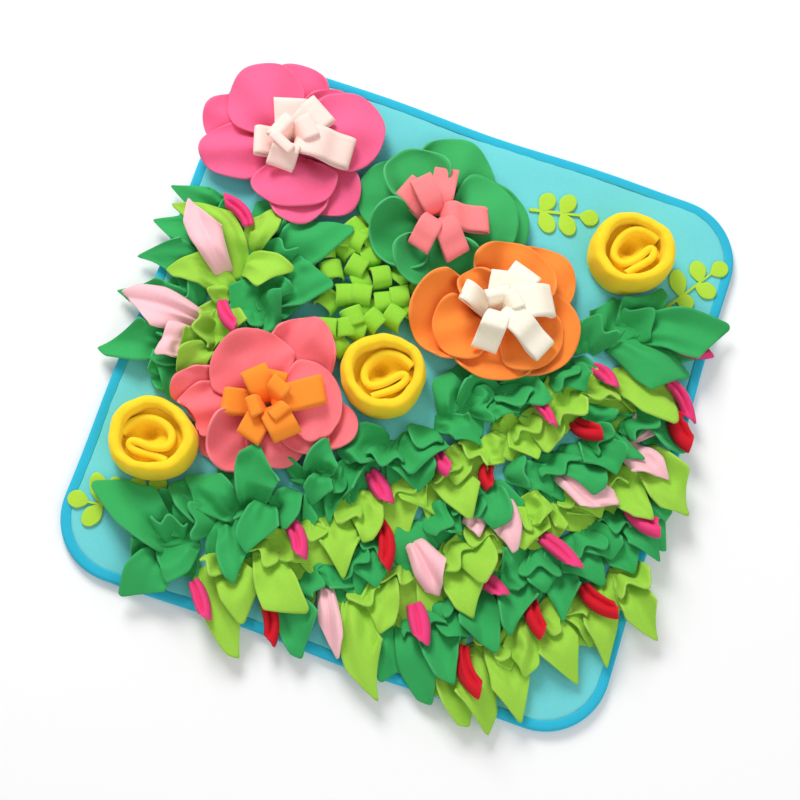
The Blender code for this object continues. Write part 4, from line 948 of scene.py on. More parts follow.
    def fillers(self) -> list[Leaf]:
        """Short leaves between the others.

        Returns:
            The leaves.
        """
        if not self.spare:
            return []
        known = sorted(self.leaves, key=lambda leaf: leaf.root)
        roots = np.array([leaf.root for leaf in known])
        reach = np.array([(leaf.tip_x, leaf.tip_y) - self.root(leaf.root) for leaf in known])
        rng = np.random.default_rng(len(self.name) + len(known))
        made = []
        for number, along in enumerate(np.arange(roots[0], roots[-1] + 1.0, self.spare)):
            chord = np.array([np.interp(along, roots, reach[:, k]) for k in (0, 1)])
            upright = number % 3 == 1
            turn = rng.uniform(-60, 60) if upright else rng.uniform(-20, 20)
            heading = math.degrees(math.atan2(chord[1], chord[0])) + turn
            full = np.linalg.norm(chord)
            size = rng.uniform(16, 24) if upright else min(self.under * full, 90.0)
            tip = self.root(along) + direction(heading) * size
            while np.abs(tip).max() > WITHIN and size > 20.0:
                size -= 4.0
                tip = self.root(along) + direction(heading) * size
            width = rng.uniform(28, 36) if upright else rng.uniform(38, 48)
            rise = rng.uniform(20, 28) if upright else rng.uniform(2, 10)
            fold = rng.uniform(4.0, 6.5) if upright else rng.choice([-3.0, 3.0])
            made.append(Leaf(along, tip[0], tip[1], width, 0.0, fold, rise, 1.0, int(upright)))
        return made

    def lay_fillers(self, pile: Pile, over: int) -> None:
        """Lay short leaves.

        Args:
            pile: What lies on the mat already.
            over: 0 for those that lie under the others, 1 for those that stand among them.
        """
        for number, leaf in enumerate(self.fillers()):
            if leaf.late != over:
                continue
            rng = np.random.default_rng(self.FILL_SEED + 37 * number + len(self.name))
            if over:
                grid = self.standing(leaf, rng)
            else:
                grid = self.sheet(leaf, rng, self.FILL_STATIONS, self.FILL_COLUMNS)
            self.laid.append(pile.tuck(grid))

    def lay(self, pile: Pile, late: bool) -> None:
        """Lay the leaves that come before, or after, the flowers.

        Args:
            pile: What lies on the mat already.
            late: Whether the flowers are laid.
        """
        for number, leaf in enumerate(self.leaves):
            if bool(leaf.late) != late:
                continue
            rng = np.random.default_rng(self.LEAF_SEED * len(self.name) + number)
            if self.cut is Cut.ROLLED:
                self.laid.append(self.bud(leaf, pile, rng))
                continue
            columns = self.PLEAT_COLUMNS if self.cut is Cut.PLEATED else self.COLUMNS
            grid = self.sheet(leaf, rng, self.STATIONS, columns)
            free = smooth(np.linspace(0, 1, self.STATIONS) / self.PACKED)[:, None]
            self.laid.append(pile.lay(grid, free))
        if not late:
            self.lay_fillers(pile, 1)

    def build(self) -> None:
        """Make the row's piece."""
        cloth = Cloth(f"{self.name}_cloth", self.fleece, grids=self.laid)
        cloth.hang(self.name)


CUTS = {"light_leaf": Cut.GATHERED, "dark_leaf": Cut.GATHERED, "pale_pink": Cut.PLEATED,
        "magenta": Cut.ROLLED, "red": Cut.ROLLED}
SPARES = {Cut.GATHERED: 13.0, Cut.PLEATED: 0.0, Cut.ROLLED: 0.0}
OUTERMOST = 170.0
UNDER_OUTERMOST = 0.9
UNDER_INNER = 1.45
WITHIN = 232.0


def field_row(name: str, fleece: Fleece, distance: float, cuts: list[tuple]) -> LeafRow:
    """A row parallel to the mat's diagonal.

    Args:
        name: Name of its solid.
        fleece: Its fleece.
        distance: How far it is from the diagonal, towards the front corner.
        cuts: Its leaves, each as the values of a Leaf.

    Returns:
        The row.
    """
    step = distance / math.sqrt(2.0)
    cut = CUTS[fleece.slot]
    under = UNDER_OUTERMOST if distance > OUTERMOST else UNDER_INNER
    leaves = [Leaf(*values) for values in cuts]
    return LeafRow(name, fleece, step, -step, 45.0, leaves, cut, SPARES[cut], under)


def bush_row(name: str, fleece: Fleece, x: float, cuts: list[tuple]) -> LeafRow:
    """A row that runs straight towards the back edge.

    Args:
        name: Name of its solid.
        fleece: Its fleece.
        x: Its place.
        cuts: Its leaves, each as the values of a Leaf.

    Returns:
        The row.
    """
    cut = CUTS[fleece.slot]
    leaves = [Leaf(*values) for values in cuts]
    return LeafRow(name, fleece, x, 0.0, 90.0, leaves, cut, SPARES[cut])


FIELD = [
    # root tip_x tip_y width bow fold rise end late
    field_row("light_leaves_outer", LIGHT_GREEN, 222.0, [
        (-80, 139, -257, 34, 0, 4, 8), (-57, 157, -260, 34, 0, 5, 8), (-34, 180, -243, 34, 2, 4, 8),
        (-20, 158, -204, 30, 0, 4, 7), (-4, 170, -206, 30, 0, 3, 7), (17, 216, -198, 38, -3, 4, 9),
        (50, 214, -163, 32, 0, 4, 8), (64, 234, -178, 32, 0, 5, 9), (77, 239, -101, 28, 0, 4, 7),
        (90, 269, -141, 28, -5, -6, 10),
    ]),
    field_row("red_buds_outer", RED, 205.0, [
        (-58, 136, -230, 26, 0, 7, 7, 0.92), (12, 171, -168, 26, 0, 3, 7, 0.7),
        (46, 223, -132, 28, 5, 8, 8, 0.92),
    ]),
    field_row("dark_leaves_outer", DARK_GREEN, 176.0, [
        (-99, 60, -243, 36, 0, 4, 8, 0.9), (-87, 104, -250, 42, -3, 4, 8, 0.95),
        (-75, 117, -231, 34, 0, -4, 9), (-63, 118, -189, 36, 0, 4, 8),
        (-25, 138, -193, 34, 0, -4, 9, 0.9), (14, 148, -178, 34, 0, 4, 9),
        (51, 187, -155, 28, 0, 4, 8), (27, 127, -141, 36, 0, 4, 9), (39, 165, -134, 38, 0, 4, 9),
        (64, 206, -110, 36, 0, 3, 9, 0.85), (101, 232, -96, 38, 0, 4, 9),
        (125, 253, -67, 36, 0, 4, 8), (113, 250, -79, 30, 0, 4, 8), (140, 243, -44, 26, 0, 4, 6),
        (80, 209, -89, 40, 0, 4, 9),
    ]),
    field_row("magenta_buds_outer", MAGENTA, 158.0, [
        (-75, 80, -207, 32, 0, 8, 8, 0.9), (-37, 130, -148, 28, 0, 7, 7, 0.9),
        (40, 180, -108, 28, 5, 8, 8, 0.92), (120, 236, -56, 34, 0, 3, 7),
    ]),
    field_row("light_leaves_middle", LIGHT_GREEN, 138.0, [
        (-127, 18, -226, 26, 0, 4, 8), (-115, 64, -264, 34, -8, 6, 9),
        (-89, 46, -212, 32, 0, -6, 9), (-32, 115, -175, 36, 0, 4, 9),
        (-7, 108, -140, 44, 0, -4, 10, 0.82), (48, 138, -105, 32, 0, 4, 8),
        (33, 152, -63, 30, 0, 4, 8), (74, 190, -58, 28, 0, 4, 8), (104, 200, -5, 34, 0, 4, 9, 0.82),
        (119, 231, -49, 36, 0, 4, 9), (156, 262, -32, 42, -3, 5, 9), (94, 192, -60, 36, 0, 3, 8),
    ]),
    field_row("pale_buds", PALE_PINK, 124.0, [
        (-139, 20, -243, 20, 0, 4, 7), (-57, 83, -166, 30, 0, -6, 9),
        (3, 97, -106, 20, 0, 6, 7, 0.9), (27, 128, -110, 32, 0, 5, 9), (81, 202, -45, 30, -4, 4, 8),
        (137, 236, -10, 30, 0, 3, 8), (149, 223, 46, 28, 0, 3, 8, 0.85),
    ]),
    field_row("dark_leaves_middle", DARK_GREEN, 108.0, [
        (-170, -8, -250, 34, 0, 4, 9), (-143, 21, -178, 22, 0, 6, 7), (-92, 32, -178, 34, 0, -5, 9),
        (-25, 84, -109, 26, 0, -6, 8), (20, 107, -98, 40, 0, 4, 9), (46, 150, -56, 28, 6, -6, 9),
        (103, 176, -42, 46, 0, 4, 10), (117, 212, 0, 32, 0, 4, 8), (131, 153, 34, 30, 0, -5, 7),
        (158, 200, 16, 26, 0, 4, 7), (171, 246, 21, 30, 0, 4, 8), (118, 192, -22, 36, 0, 3, 8),
    ]),
    field_row("red_buds_middle", RED, 92.0, [
        (-181, -36, -246, 24, 0, 6, 7), (-74, 32, -157, 26, 0, 8, 8),
        (31, 93, -65, 24, 5, 7, 8, 0.85), (112, 168, 8, 30, 3, 7, 8, 0.92),
        (199, 244, 26, 32, 0, 6, 8),
    ]),
    field_row("light_leaves_upper", LIGHT_GREEN, 70.0, [
        (-217, -57, -266, 32, -4, 4, 9), (-205, -65, -236, 38, 0, 3, 10, 0.82),
        (-170, -16, -216, 34, -4, -3, 9, 0.85), (-182, -22, -176, 28, 8, 5, 9),
        (-128, -26, -163, 30, 0, 4, 8), (-102, 4, -181, 34, 0, 5, 9), (-71, 8, -143, 38, 0, 3, 10),
        (-43, 52, -101, 28, 0, 4, 8), (-14, 85, -95, 34, 0, 3, 9, 0.88),
        (20, 65, -70, 28, 0, 3, 8, 0.82), (38, 100, -40, 30, 0, 4, 8),
        (52, 110, 18, 34, 0, 4, 9, 0.9), (70, 126, -30, 38, 0, 3, 8),
        (104, 128, -15, 40, 0, 4, 9, 0.9), (92, 144, 48, 34, 0, 3, 9, 0.88),
        (117, 178, 46, 22, 8, 5, 9), (165, 222, 42, 46, 0, 3, 11, 0.82),
    ]),
    field_row("magenta_buds_upper", MAGENTA, 56.0, [
        (-233, -92, -246, 24, 0, 7, 8), (-145, -36, -173, 26, 0, 6, 8, 0.9),
        (-64, 16, -106, 30, 0, 7, 8, 0.78), (-1, 55, -67, 24, 7, 7, 8, 0.9),
        (88, 126, 0, 20, 0, 5, 7, 0.9), (151, 166, 52, 26, 0, 6, 7, 0.85),
        (200, 240, 50, 22, 0, 5, 8), (216, 238, 112, 20, -4, 5, 7, 0.9),
    ]),
    field_row("dark_leaves_upper", DARK_GREEN, 42.0, [
        (-250, -162, -246, 38, 0, 3, 9, 0.86), (-222, -132, -222, 42, 0, 3, 9, 0.82),
        (-238, -216, -172, 42, 0, 3, 10, 0.92), (-212, -152, -165, 40, 0, 3, 9),
        (-200, -158, -146, 36, 0, 4, 9), (-189, -79, -212, 30, 0, -4, 9),
        (-178, -152, -140, 36, 0, 5, 9), (-167, -101, -97, 40, 0, 4, 14, 1.0, 1),
        (-154, -79, -186, 34, 0, -5, 9, 1.0, 1), (-128, -58, -153, 28, 0, -4, 9, 0.9),
        (-114, -48, -78, 26, 0, 5, 12, 0.9, 1), (-101, -42, -130, 24, 0, -6, 10, 1.0, 1),
        (-62, -22, -142, 26, -10, -8, 12), (-38, -39, -79, 36, 0, 4, 9),
        (-26, 38, -89, 44, 0, 4, 8), (-12, 26, -70, 44, 0, 3, 11, 0.82),
        (4, 78, -34, 26, 5, -6, 12), (17, 30, 22, 34, 0, 4, 9), (78, 120, 22, 28, 0, 5, 8),
        (51, 98, 4, 26, 0, 6, 8), (31, 84, 20, 24, 12, -7, 11), (151, 124, 98, 40, 0, 3, 7),
        (139, 150, 40, 30, -8, -5, 9), (163, 147, 132, 36, 0, -5, 8),
        (175, 224, 86, 44, 0, 4, 11, 0.86), (187, 182, 153, 36, 0, -7, 11),
        (199, 246, 138, 42, 0, 4, 11, 0.86),
    ]),
]

BUSH = [
    bush_row("bush_dark_left", DARK_GREEN, -192.0, [
        (92, -256, 98, 28, 3, 3, 7), (64, -258, 62, 30, 0, 3, 7), (34, -260, 26, 30, -5, 4, 8),
        (2, -264, -8, 24, 0, 4, 7), (-36, -260, -61, 34, 0, 4, 8), (-49, -212, -68, 26, 0, 3, 7),
        (-24, -186, -86, 36, 0, 4, 11),
    ]),
    bush_row("bush_pale", PALE_PINK, -180.0, [
        (36, -233, 88, 30, 2, 3, 10, 1.0, 1), (-12, -258, -9, 38, 0, -4, 9),
        (-24, -204, -50, 32, 0, 3, 9, 0.8),
    ]),
    bush_row("bush_dark_right", DARK_GREEN, -148.0, [
        (64, -176, 105, 46, 0, 4, 9), (77, -128, 94, 26, 0, -6, 8),
        (52, -92, 108, 44, 0, 3, 10, 0.88), (40, -128, 20, 28, 0, 4, 8),
        (13, -134, -15, 32, 0, -4, 9), (28, -93, 54, 42, 0, 4, 10, 0.92),
        (34, -128, 38, 34, 0, 6, 12, 0.8), (40, -160, -4, 44, 0, 4, 12),
        (22, -118, 4, 36, 0, -5, 9), (4, -146, -22, 30, 0, 5, 10),
    ]),
    bush_row("bush_light", LIGHT_GREEN, -168.0, [
        (62, -158, 107, 30, 0, 3, 9), (36, -249, 80, 42, -14, 5, 13), (23, -232, 21, 32, -8, 5, 11),
        (49, -130, 55, 36, 0, 3, 11, 0.82), (10, -160, -24, 36, 0, 5, 10),
        (-12, -192, -44, 26, 0, -6, 9), (-28, -187, -63, 24, 0, -5, 9),
    ]),
    bush_row("bush_magenta", MAGENTA, -174.0, [
        (82, -203, 99, 24, 0, 8, 9, 0.9), (11, -153, -12, 22, 0, 8, 9, 0.9),
    ]),
]


# ---------------------------------------------------------------------------------------
# Flowers
# ---------------------------------------------------------------------------------------


@dataclass(frozen=True)
class Petal:
    """A round petal: its tip, width, how far its sides cup up (or droop) and its arch."""

    tip_x: float
    tip_y: float
    width: float
    cup: float
    rise: float


@dataclass(frozen=True)
class Loop:
    """A loop of a flower's middle: its tip and its width."""

    tip_x: float
    tip_y: float
    width: float


@dataclass
class Flower:
    """A flower: two layers of petals and a middle of loops."""

    name: str
    fleece: Fleece
    loop_fleece: Fleece
    x: float
    y: float
    outer: list[Petal]
    inner: list[Petal]
    loops: list[Loop]
    short_loops: list[Loop]
    laid: dict[str, list[np.ndarray]] = field(
        default_factory=lambda: {"outer": [], "inner": [], "loops": []})

    ROWS = 16
    COLUMNS = 13
    START = 3.0
    NECK = 0.36
    WIDEST = 0.5
    RISE = 0.95
    RUFFLE = 3.0
    CUP = 2.5
    GATHER = 5.5
    CURL = 2.6
    SEWN = 0.5
    LOOP_DEPTH = 8.0
    LOOP_NECK = 2.2
    LOOP_HUB = 17.0
    LOOP_STATIONS = 19
    LOOP_COLUMNS = 5

    def centre(self) -> np.ndarray:
        """Middle of the flower."""
        return np.array([self.x, self.y], dtype=float)

    def petal_sheet(self, petal: Petal, floor: float, rng: np.random.Generator) -> tuple:
        """Shape a petal before it is laid.

        Args:
            petal: The petal.
            floor: Height that it starts from.
            rng: Source of its unevenness.

        Returns:
            Grid of points on its upper side, and how free each is from its seam.
        """
        tip = np.array([petal.tip_x, petal.tip_y], dtype=float)
        reach = np.linalg.norm(tip - self.centre())
        out = (tip - self.centre()) / reach
        side = left_of(out)
        x, y = disc(self.ROWS, self.COLUMNS)
        y = 0.5 + 0.5 * y
        taper = self.NECK + (1.0 - self.NECK) * smooth(y / self.WIDEST)
        distance = self.START + (reach - self.START) * y
        turn = np.arctan2(2 * y - 1, x)
        rim = np.sqrt(x * x + (2 * y - 1) ** 2)
        uneven = 1.0 + 0.04 * np.sin(3 * turn + rng.uniform(0, 6)) * rim ** 2
        aside = 0.5 * petal.width * x * taper * uneven
        xy = self.centre() + distance[..., None] * out + aside[..., None] * side
        cup = self.CUP * petal.cup * (x * x if petal.cup > 0 else x * x - 1.0)
        z = floor + self.RISE * petal.rise * np.sin(np.pi * y) + cup * smooth(y / 0.4)
        z = z + max(petal.cup, 1.5) * np.maximum(2 * y - 1, 0) ** 2
        curl = self.CURL + 0.7 * max(petal.cup, 0.0)
        gather = np.cos(1.7 * np.pi * x + rng.uniform(-1, 1)) * (1 - 0.85 * y) * smooth(y / 0.15)
        ruffle = np.sin(2 * turn + rng.uniform(0, 6)) + 0.6 * np.sin(5 * turn + rng.uniform(0, 6))
        z = z + self.GATHER * gather + self.RUFFLE * ruffle * rim ** 2 + curl * rim ** 6
        return raised(away_from_roses(xy), z), smooth(y / self.SEWN)

    def lay_petals(self, pile: Pile, layer: str, floor: float) -> None:
        """Lay one layer of petals.

        Args:
            pile: What lies on the mat already.
            layer: Name of the layer.
            floor: Height that they start from.
        """
        for number, petal in enumerate(getattr(self, layer)):
            rng = np.random.default_rng(17 * number + int(abs(self.x)))
            grid, free = self.petal_sheet(petal, floor, rng)
            self.laid[layer].append(pile.lay(grid, free))

    def build_petals(self, layer: str) -> None:
        """Build one layer of petals."""
        cloth = Cloth(f"{self.name}_{layer}_cloth", self.fleece, grids=self.laid[layer])
        cloth.hang(f"{self.name}_{layer}")

    def loop_sheet(self, pile: Pile, loop: Loop, rng: np.random.Generator) -> np.ndarray:
        """Shape one loop: out from the middle, round its tip and back below.

        Args:
            pile: What lies on the mat already.
            loop: The loop.
            rng: Source of its unevenness.

        Returns:
            Grid of points of its middle surface.
        """
        offset = np.array([loop.tip_x, loop.tip_y]) - self.centre()
        reach = np.linalg.norm(offset)
        out = offset / reach
        side = left_of(out)
        half = 0.5 * loop.width
        bend = 0.5 * min(self.LOOP_DEPTH, 0.5 * reach)
        r = np.linspace(1.0, reach, 14)
        v = np.linspace(-1, 1, self.LOOP_COLUMNS)
        spots = self.centre() + out * r[:, None, None]
        spots = spots + side * (half * np.linspace(-1, 1, 11))[None, :, None]
        under = pile.ground(spots).max(axis=1) + GAP + 0.5 * LOOP_CLOTH
        under = self.LOOP_HUB + (under - self.LOOP_HUB) * smooth((r - 1.0) / 9.0)
        for _ in range(8):
            eased = np.convolve(np.pad(under, 1, mode="edge"), (0.25, 0.5, 0.25), mode="valid")
            under = np.maximum(under, eased)
        end = reach - bend
        depth = self.LOOP_NECK + (2 * bend - self.LOOP_NECK) * smooth((r - 3.0) / max(end - 3.0, 4))
        top = [(x, np.interp(x, r, under) + np.interp(x, r, depth))
               for x in np.linspace(3.0, end, 7)]
        back = [(x, np.interp(x, r, under)) for x in np.linspace(end, 4.0, 6)]
        low, high = back[0][1], top[-1][1]
        turns = np.linspace(0.5 * np.pi, -0.5 * np.pi, 9)[1:-1]
        fold = [(end + bend * math.cos(t), 0.5 * (low + high) + 0.5 * (high - low) * math.sin(t))
                for t in turns]
        path = np.array(top + fold + back)
        steps = np.concatenate([[0], np.cumsum(np.linalg.norm(np.diff(path, axis=0), axis=1))])
        stations = np.linspace(0, steps[-1], self.LOOP_STATIONS)
        x, z = np.interp(stations, steps, path[:, 0]), np.interp(stations, steps, path[:, 1])
        width = half * (0.72 + 0.28 * smooth(x / 14.0)) * (1 + 0.04 * rng.uniform(-1, 1) * x / reach)
        skew = rng.uniform(-0.12, 0.12) * (x - 4.0)
        aside = width[:, None] * v + skew[:, None]
        xy = self.centre() + (x[:, None] * out)[:, None] + aside[..., None] * side
        tilt = rng.uniform(-1.2, 1.2) * v * smooth(x / reach)[:, None]
        crumple = 0.5 * np.sin(0.5 * x + rng.uniform(0, 6))[:, None] * v ** 2
        return raised(xy, z[:, None] + tilt + crumple + 0.5 * (1 - v * v))

    def lay(self, pile: Pile) -> None:
        """Lay the whole flower."""
        self.lay_petals(pile, "outer", SHEET_FLOOR)
        self.lay_petals(pile, "inner", SHEET_FLOOR + 3.0)
        for number, loop in enumerate(self.loops + self.short_loops):
            rng = np.random.default_rng(7 * number + int(abs(self.y)))
            grid = self.loop_sheet(pile, loop, rng)
            pile.cover(refined(grid, Pile.COVER) + (0, 0, 0.5 * LOOP_CLOTH))
            self.laid["loops"].append(grid)

    def build(self) -> None:
        """Build the whole flower."""
        self.build_petals("outer")
        self.build_petals("inner")
        cloth = Cloth(f"{self.name}_loops_cloth", self.loop_fleece, LOOP_CLOTH, self.laid["loops"])
        cloth.hang(f"{self.name}_loops", 0.0)


FLOWERS = [
    Flower(
        "coral_flower", CORAL, WARM_ORANGE, -104, -63,
        # tip_x tip_y width cup rise
        [Petal(-89, 22, 60, 0, 7), Petal(-27, -58, 52, -2, 6), Petal(-187, -76, 50, 0, 6),
         Petal(-150, -115, 46, 0, 6)],
        [Petal(-177, -94, 48, -3, 6), Petal(-150, -15, 76, -4, 8),
         Petal(-128, -125, 50, 6, 8), Petal(-75, -109, 52, -3, 7),
         Petal(-46, -82, 36, -2, 6), Petal(-49, -35, 74, -4, 8)],
        [Loop(-142, -70, 22), Loop(-107, -34, 22), Loop(-126, -40, 22), Loop(-62, -39, 24),
         Loop(-113, -97, 22), Loop(-80, -88, 24)],
        [Loop(-96, -44, 18), Loop(-118, -74, 18), Loop(-88, -72, 16)],
    ),
    Flower(
        "green_flower", PETAL_GREEN, SOFT_CORAL, -24, 142,
        [Petal(-98, 160, 70, -2, 6), Petal(-22, 225, 72, -2, 6), Petal(55, 168, 80, -2, 6),
         Petal(22, 100, 70, 5, 7)],
        [Petal(43, 170, 80, -3, 8), Petal(-73, 193, 56, 5, 8), Petal(-66, 98, 62, 7, 9),
         Petal(-6, 80, 76, 7, 9)],
        [Loop(-62, 156, 24), Loop(-32, 187, 22), Loop(18, 159, 24), Loop(8, 116, 22),
         Loop(-34, 107, 20)],
        [Loop(-50, 166, 20)],
    ),
    Flower(
        "orange_flower", ORANGE, CREAM, 53, 79,
        [Petal(-18, 51, 72, 4, 6), Petal(95, 150, 70, -2, 6), Petal(127, 74, 78, -2, 6),
         Petal(70, 22, 72, -2, 7)],
        [Petal(9, 40, 56, -2, 8), Petal(60, 146, 74, 3, 8), Petal(14, 102, 36, 2, 7),
         Petal(112, 59, 62, -3, 8)],
        [Loop(17, 82, 18), Loop(45, 113, 24), Loop(66, 120, 26), Loop(95, 102, 28),
         Loop(103, 57, 22), Loop(54, 41, 22)],
        [Loop(44, 93, 22), Loop(66, 92, 18)],
    ),
    Flower(
        "pink_flower", HOT_PINK, SHELL, -165, 165,
        [Petal(-250, 174, 62, -2, 6), Petal(-193, 240, 70, -2, 6),
         Petal(-131, 226, 54, -2, 6), Petal(-96, 127, 54, -2, 6), Petal(-132, 97, 52, -2, 6)],
        [Petal(-240, 132, 54, -2, 7), Petal(-227, 220, 70, -4, 8), Petal(-140, 110, 76, -4, 8),
         Petal(-97, 214, 74, -4, 8)],
        [Loop(-197, 155, 26), Loop(-177, 203, 30), Loop(-145, 200, 28), Loop(-111, 169, 28),
         Loop(-166, 136, 24)],
        [Loop(-183, 172, 24), Loop(-150, 180, 22), Loop(-172, 150, 24)],
    ),
]


# ---------------------------------------------------------------------------------------
# Arched loops
# ---------------------------------------------------------------------------------------


@dataclass(frozen=True)
class Arch:
    """One arched loop: its middle and the heading of its span."""

    x: float
    y: float
    heading: float


@dataclass
class ArchedLoops:
    """The cluster of arched loops."""

    arches: list[Arch]
    half_span: float = 9.0
    height: float = 18.5
    width: float = 16.4
    uneven: tuple[float, ...] = (0.0, 1.1, -0.9, 0.5, -1.6, 1.7, -0.4)
    laid: list[np.ndarray] = field(default_factory=list)

    FLOOR = 10.6
    STATIONS = 17
    COLUMNS = 5
    BESIDE = ((9.5, -9.5), (-9.0, -10.0), (9.0, 10.0))
    NEAREST = 11.0
    ROSE_ROOM = 45.0
    LOWERED = 5.5

    def sheet(self, number: int, arch: Arch, lower: float) -> np.ndarray:
        """Shape one arch.

        Args:
            number: Its number.
            arch: The arch.
            lower: How much lower than the others it stands.

        Returns:
            Grid of points of its middle surface.
        """
        out = direction(arch.heading)
        side = left_of(out)
        height = self.height + self.uneven[number % len(self.uneven)] - lower
        turns = np.linspace(np.radians(-25), np.radians(205), self.STATIONS)
        reach = -self.half_span * np.sign(np.cos(turns)) * np.float_power(np.abs(np.cos(turns)), 0.75)
        rise = np.sin(turns)
        lift = np.where(rise > 0, np.float_power(np.abs(rise), 0.7), 1.2 * rise)
        z = self.FLOOR + height * np.clip(0.42 + 0.58 * lift, 0.0, 1.0)
        v = np.linspace(-1.0, 1.0, self.COLUMNS)
        foot = np.array([arch.x, arch.y], dtype=float)
        lean = 0.14 * self.uneven[(number + 3) % len(self.uneven)] * (z - self.FLOOR)
        aside = 0.5 * self.width * v[None, :] + lean[:, None]
        xy = foot + (reach[:, None] * out)[:, None] + aside[..., None] * side
        z = z[:, None] - 0.4 * v[None, :] ** 2
        return raised(xy, z)

    def spares(self) -> list[Arch]:
        """Lower arches between the others.

        Returns:
            The arches.
        """
        made = []
        for beside in self.BESIDE:
            for arch in self.arches:
                spot = np.array([arch.x, arch.y]) + beside
                near = min(math.dist(spot, (other.x, other.y)) for other in self.arches + made)
                rose = math.dist(spot, (ROSES[1].x, ROSES[1].y))
                if near > self.NEAREST and rose > self.ROSE_ROOM:
                    made.append(Arch(spot[0], spot[1], arch.heading + 50))
        return made

    def lay(self, pile: Pile) -> None:
        """Stand the arches on the mat."""
        lowered = [(arch, self.LOWERED) for arch in self.spares()]
        for number, (arch, lower) in enumerate(lowered + [(arch, 0.0) for arch in self.arches]):
            grid = self.sheet(number, arch, lower)
            pile.cover(refined(grid, Pile.COVER) + (0, 0, 0.5 * LOOP_CLOTH))
            self.laid.append(pile.tuck(grid, presses=False))

    def build(self) -> None:
        """Build the arches."""
        cloth = Cloth("arched_loops_cloth", LOOP_GREEN, LOOP_CLOTH, self.laid)
        cloth.hang("arched_loops", offset=0.0)


ARCHES = [
    Arch(-98, 102, 10), Arch(-80, 101, 80), Arch(-107, 84, 25), Arch(-75, 80, 80),
    Arch(-55, 76, -60), Arch(-37, 87, -20), Arch(-94, 67, 30), Arch(-28, 68, -60),
    Arch(-80, 51, -70), Arch(-62, 57, -80), Arch(-43, 57, -65), Arch(-27, 47, 75),
    Arch(-64, 37, 40), Arch(-44, 38, 65), Arch(-77, 19, -75), Arch(-64, 20, 25),
]


# ---------------------------------------------------------------------------------------
# Roses
# ---------------------------------------------------------------------------------------


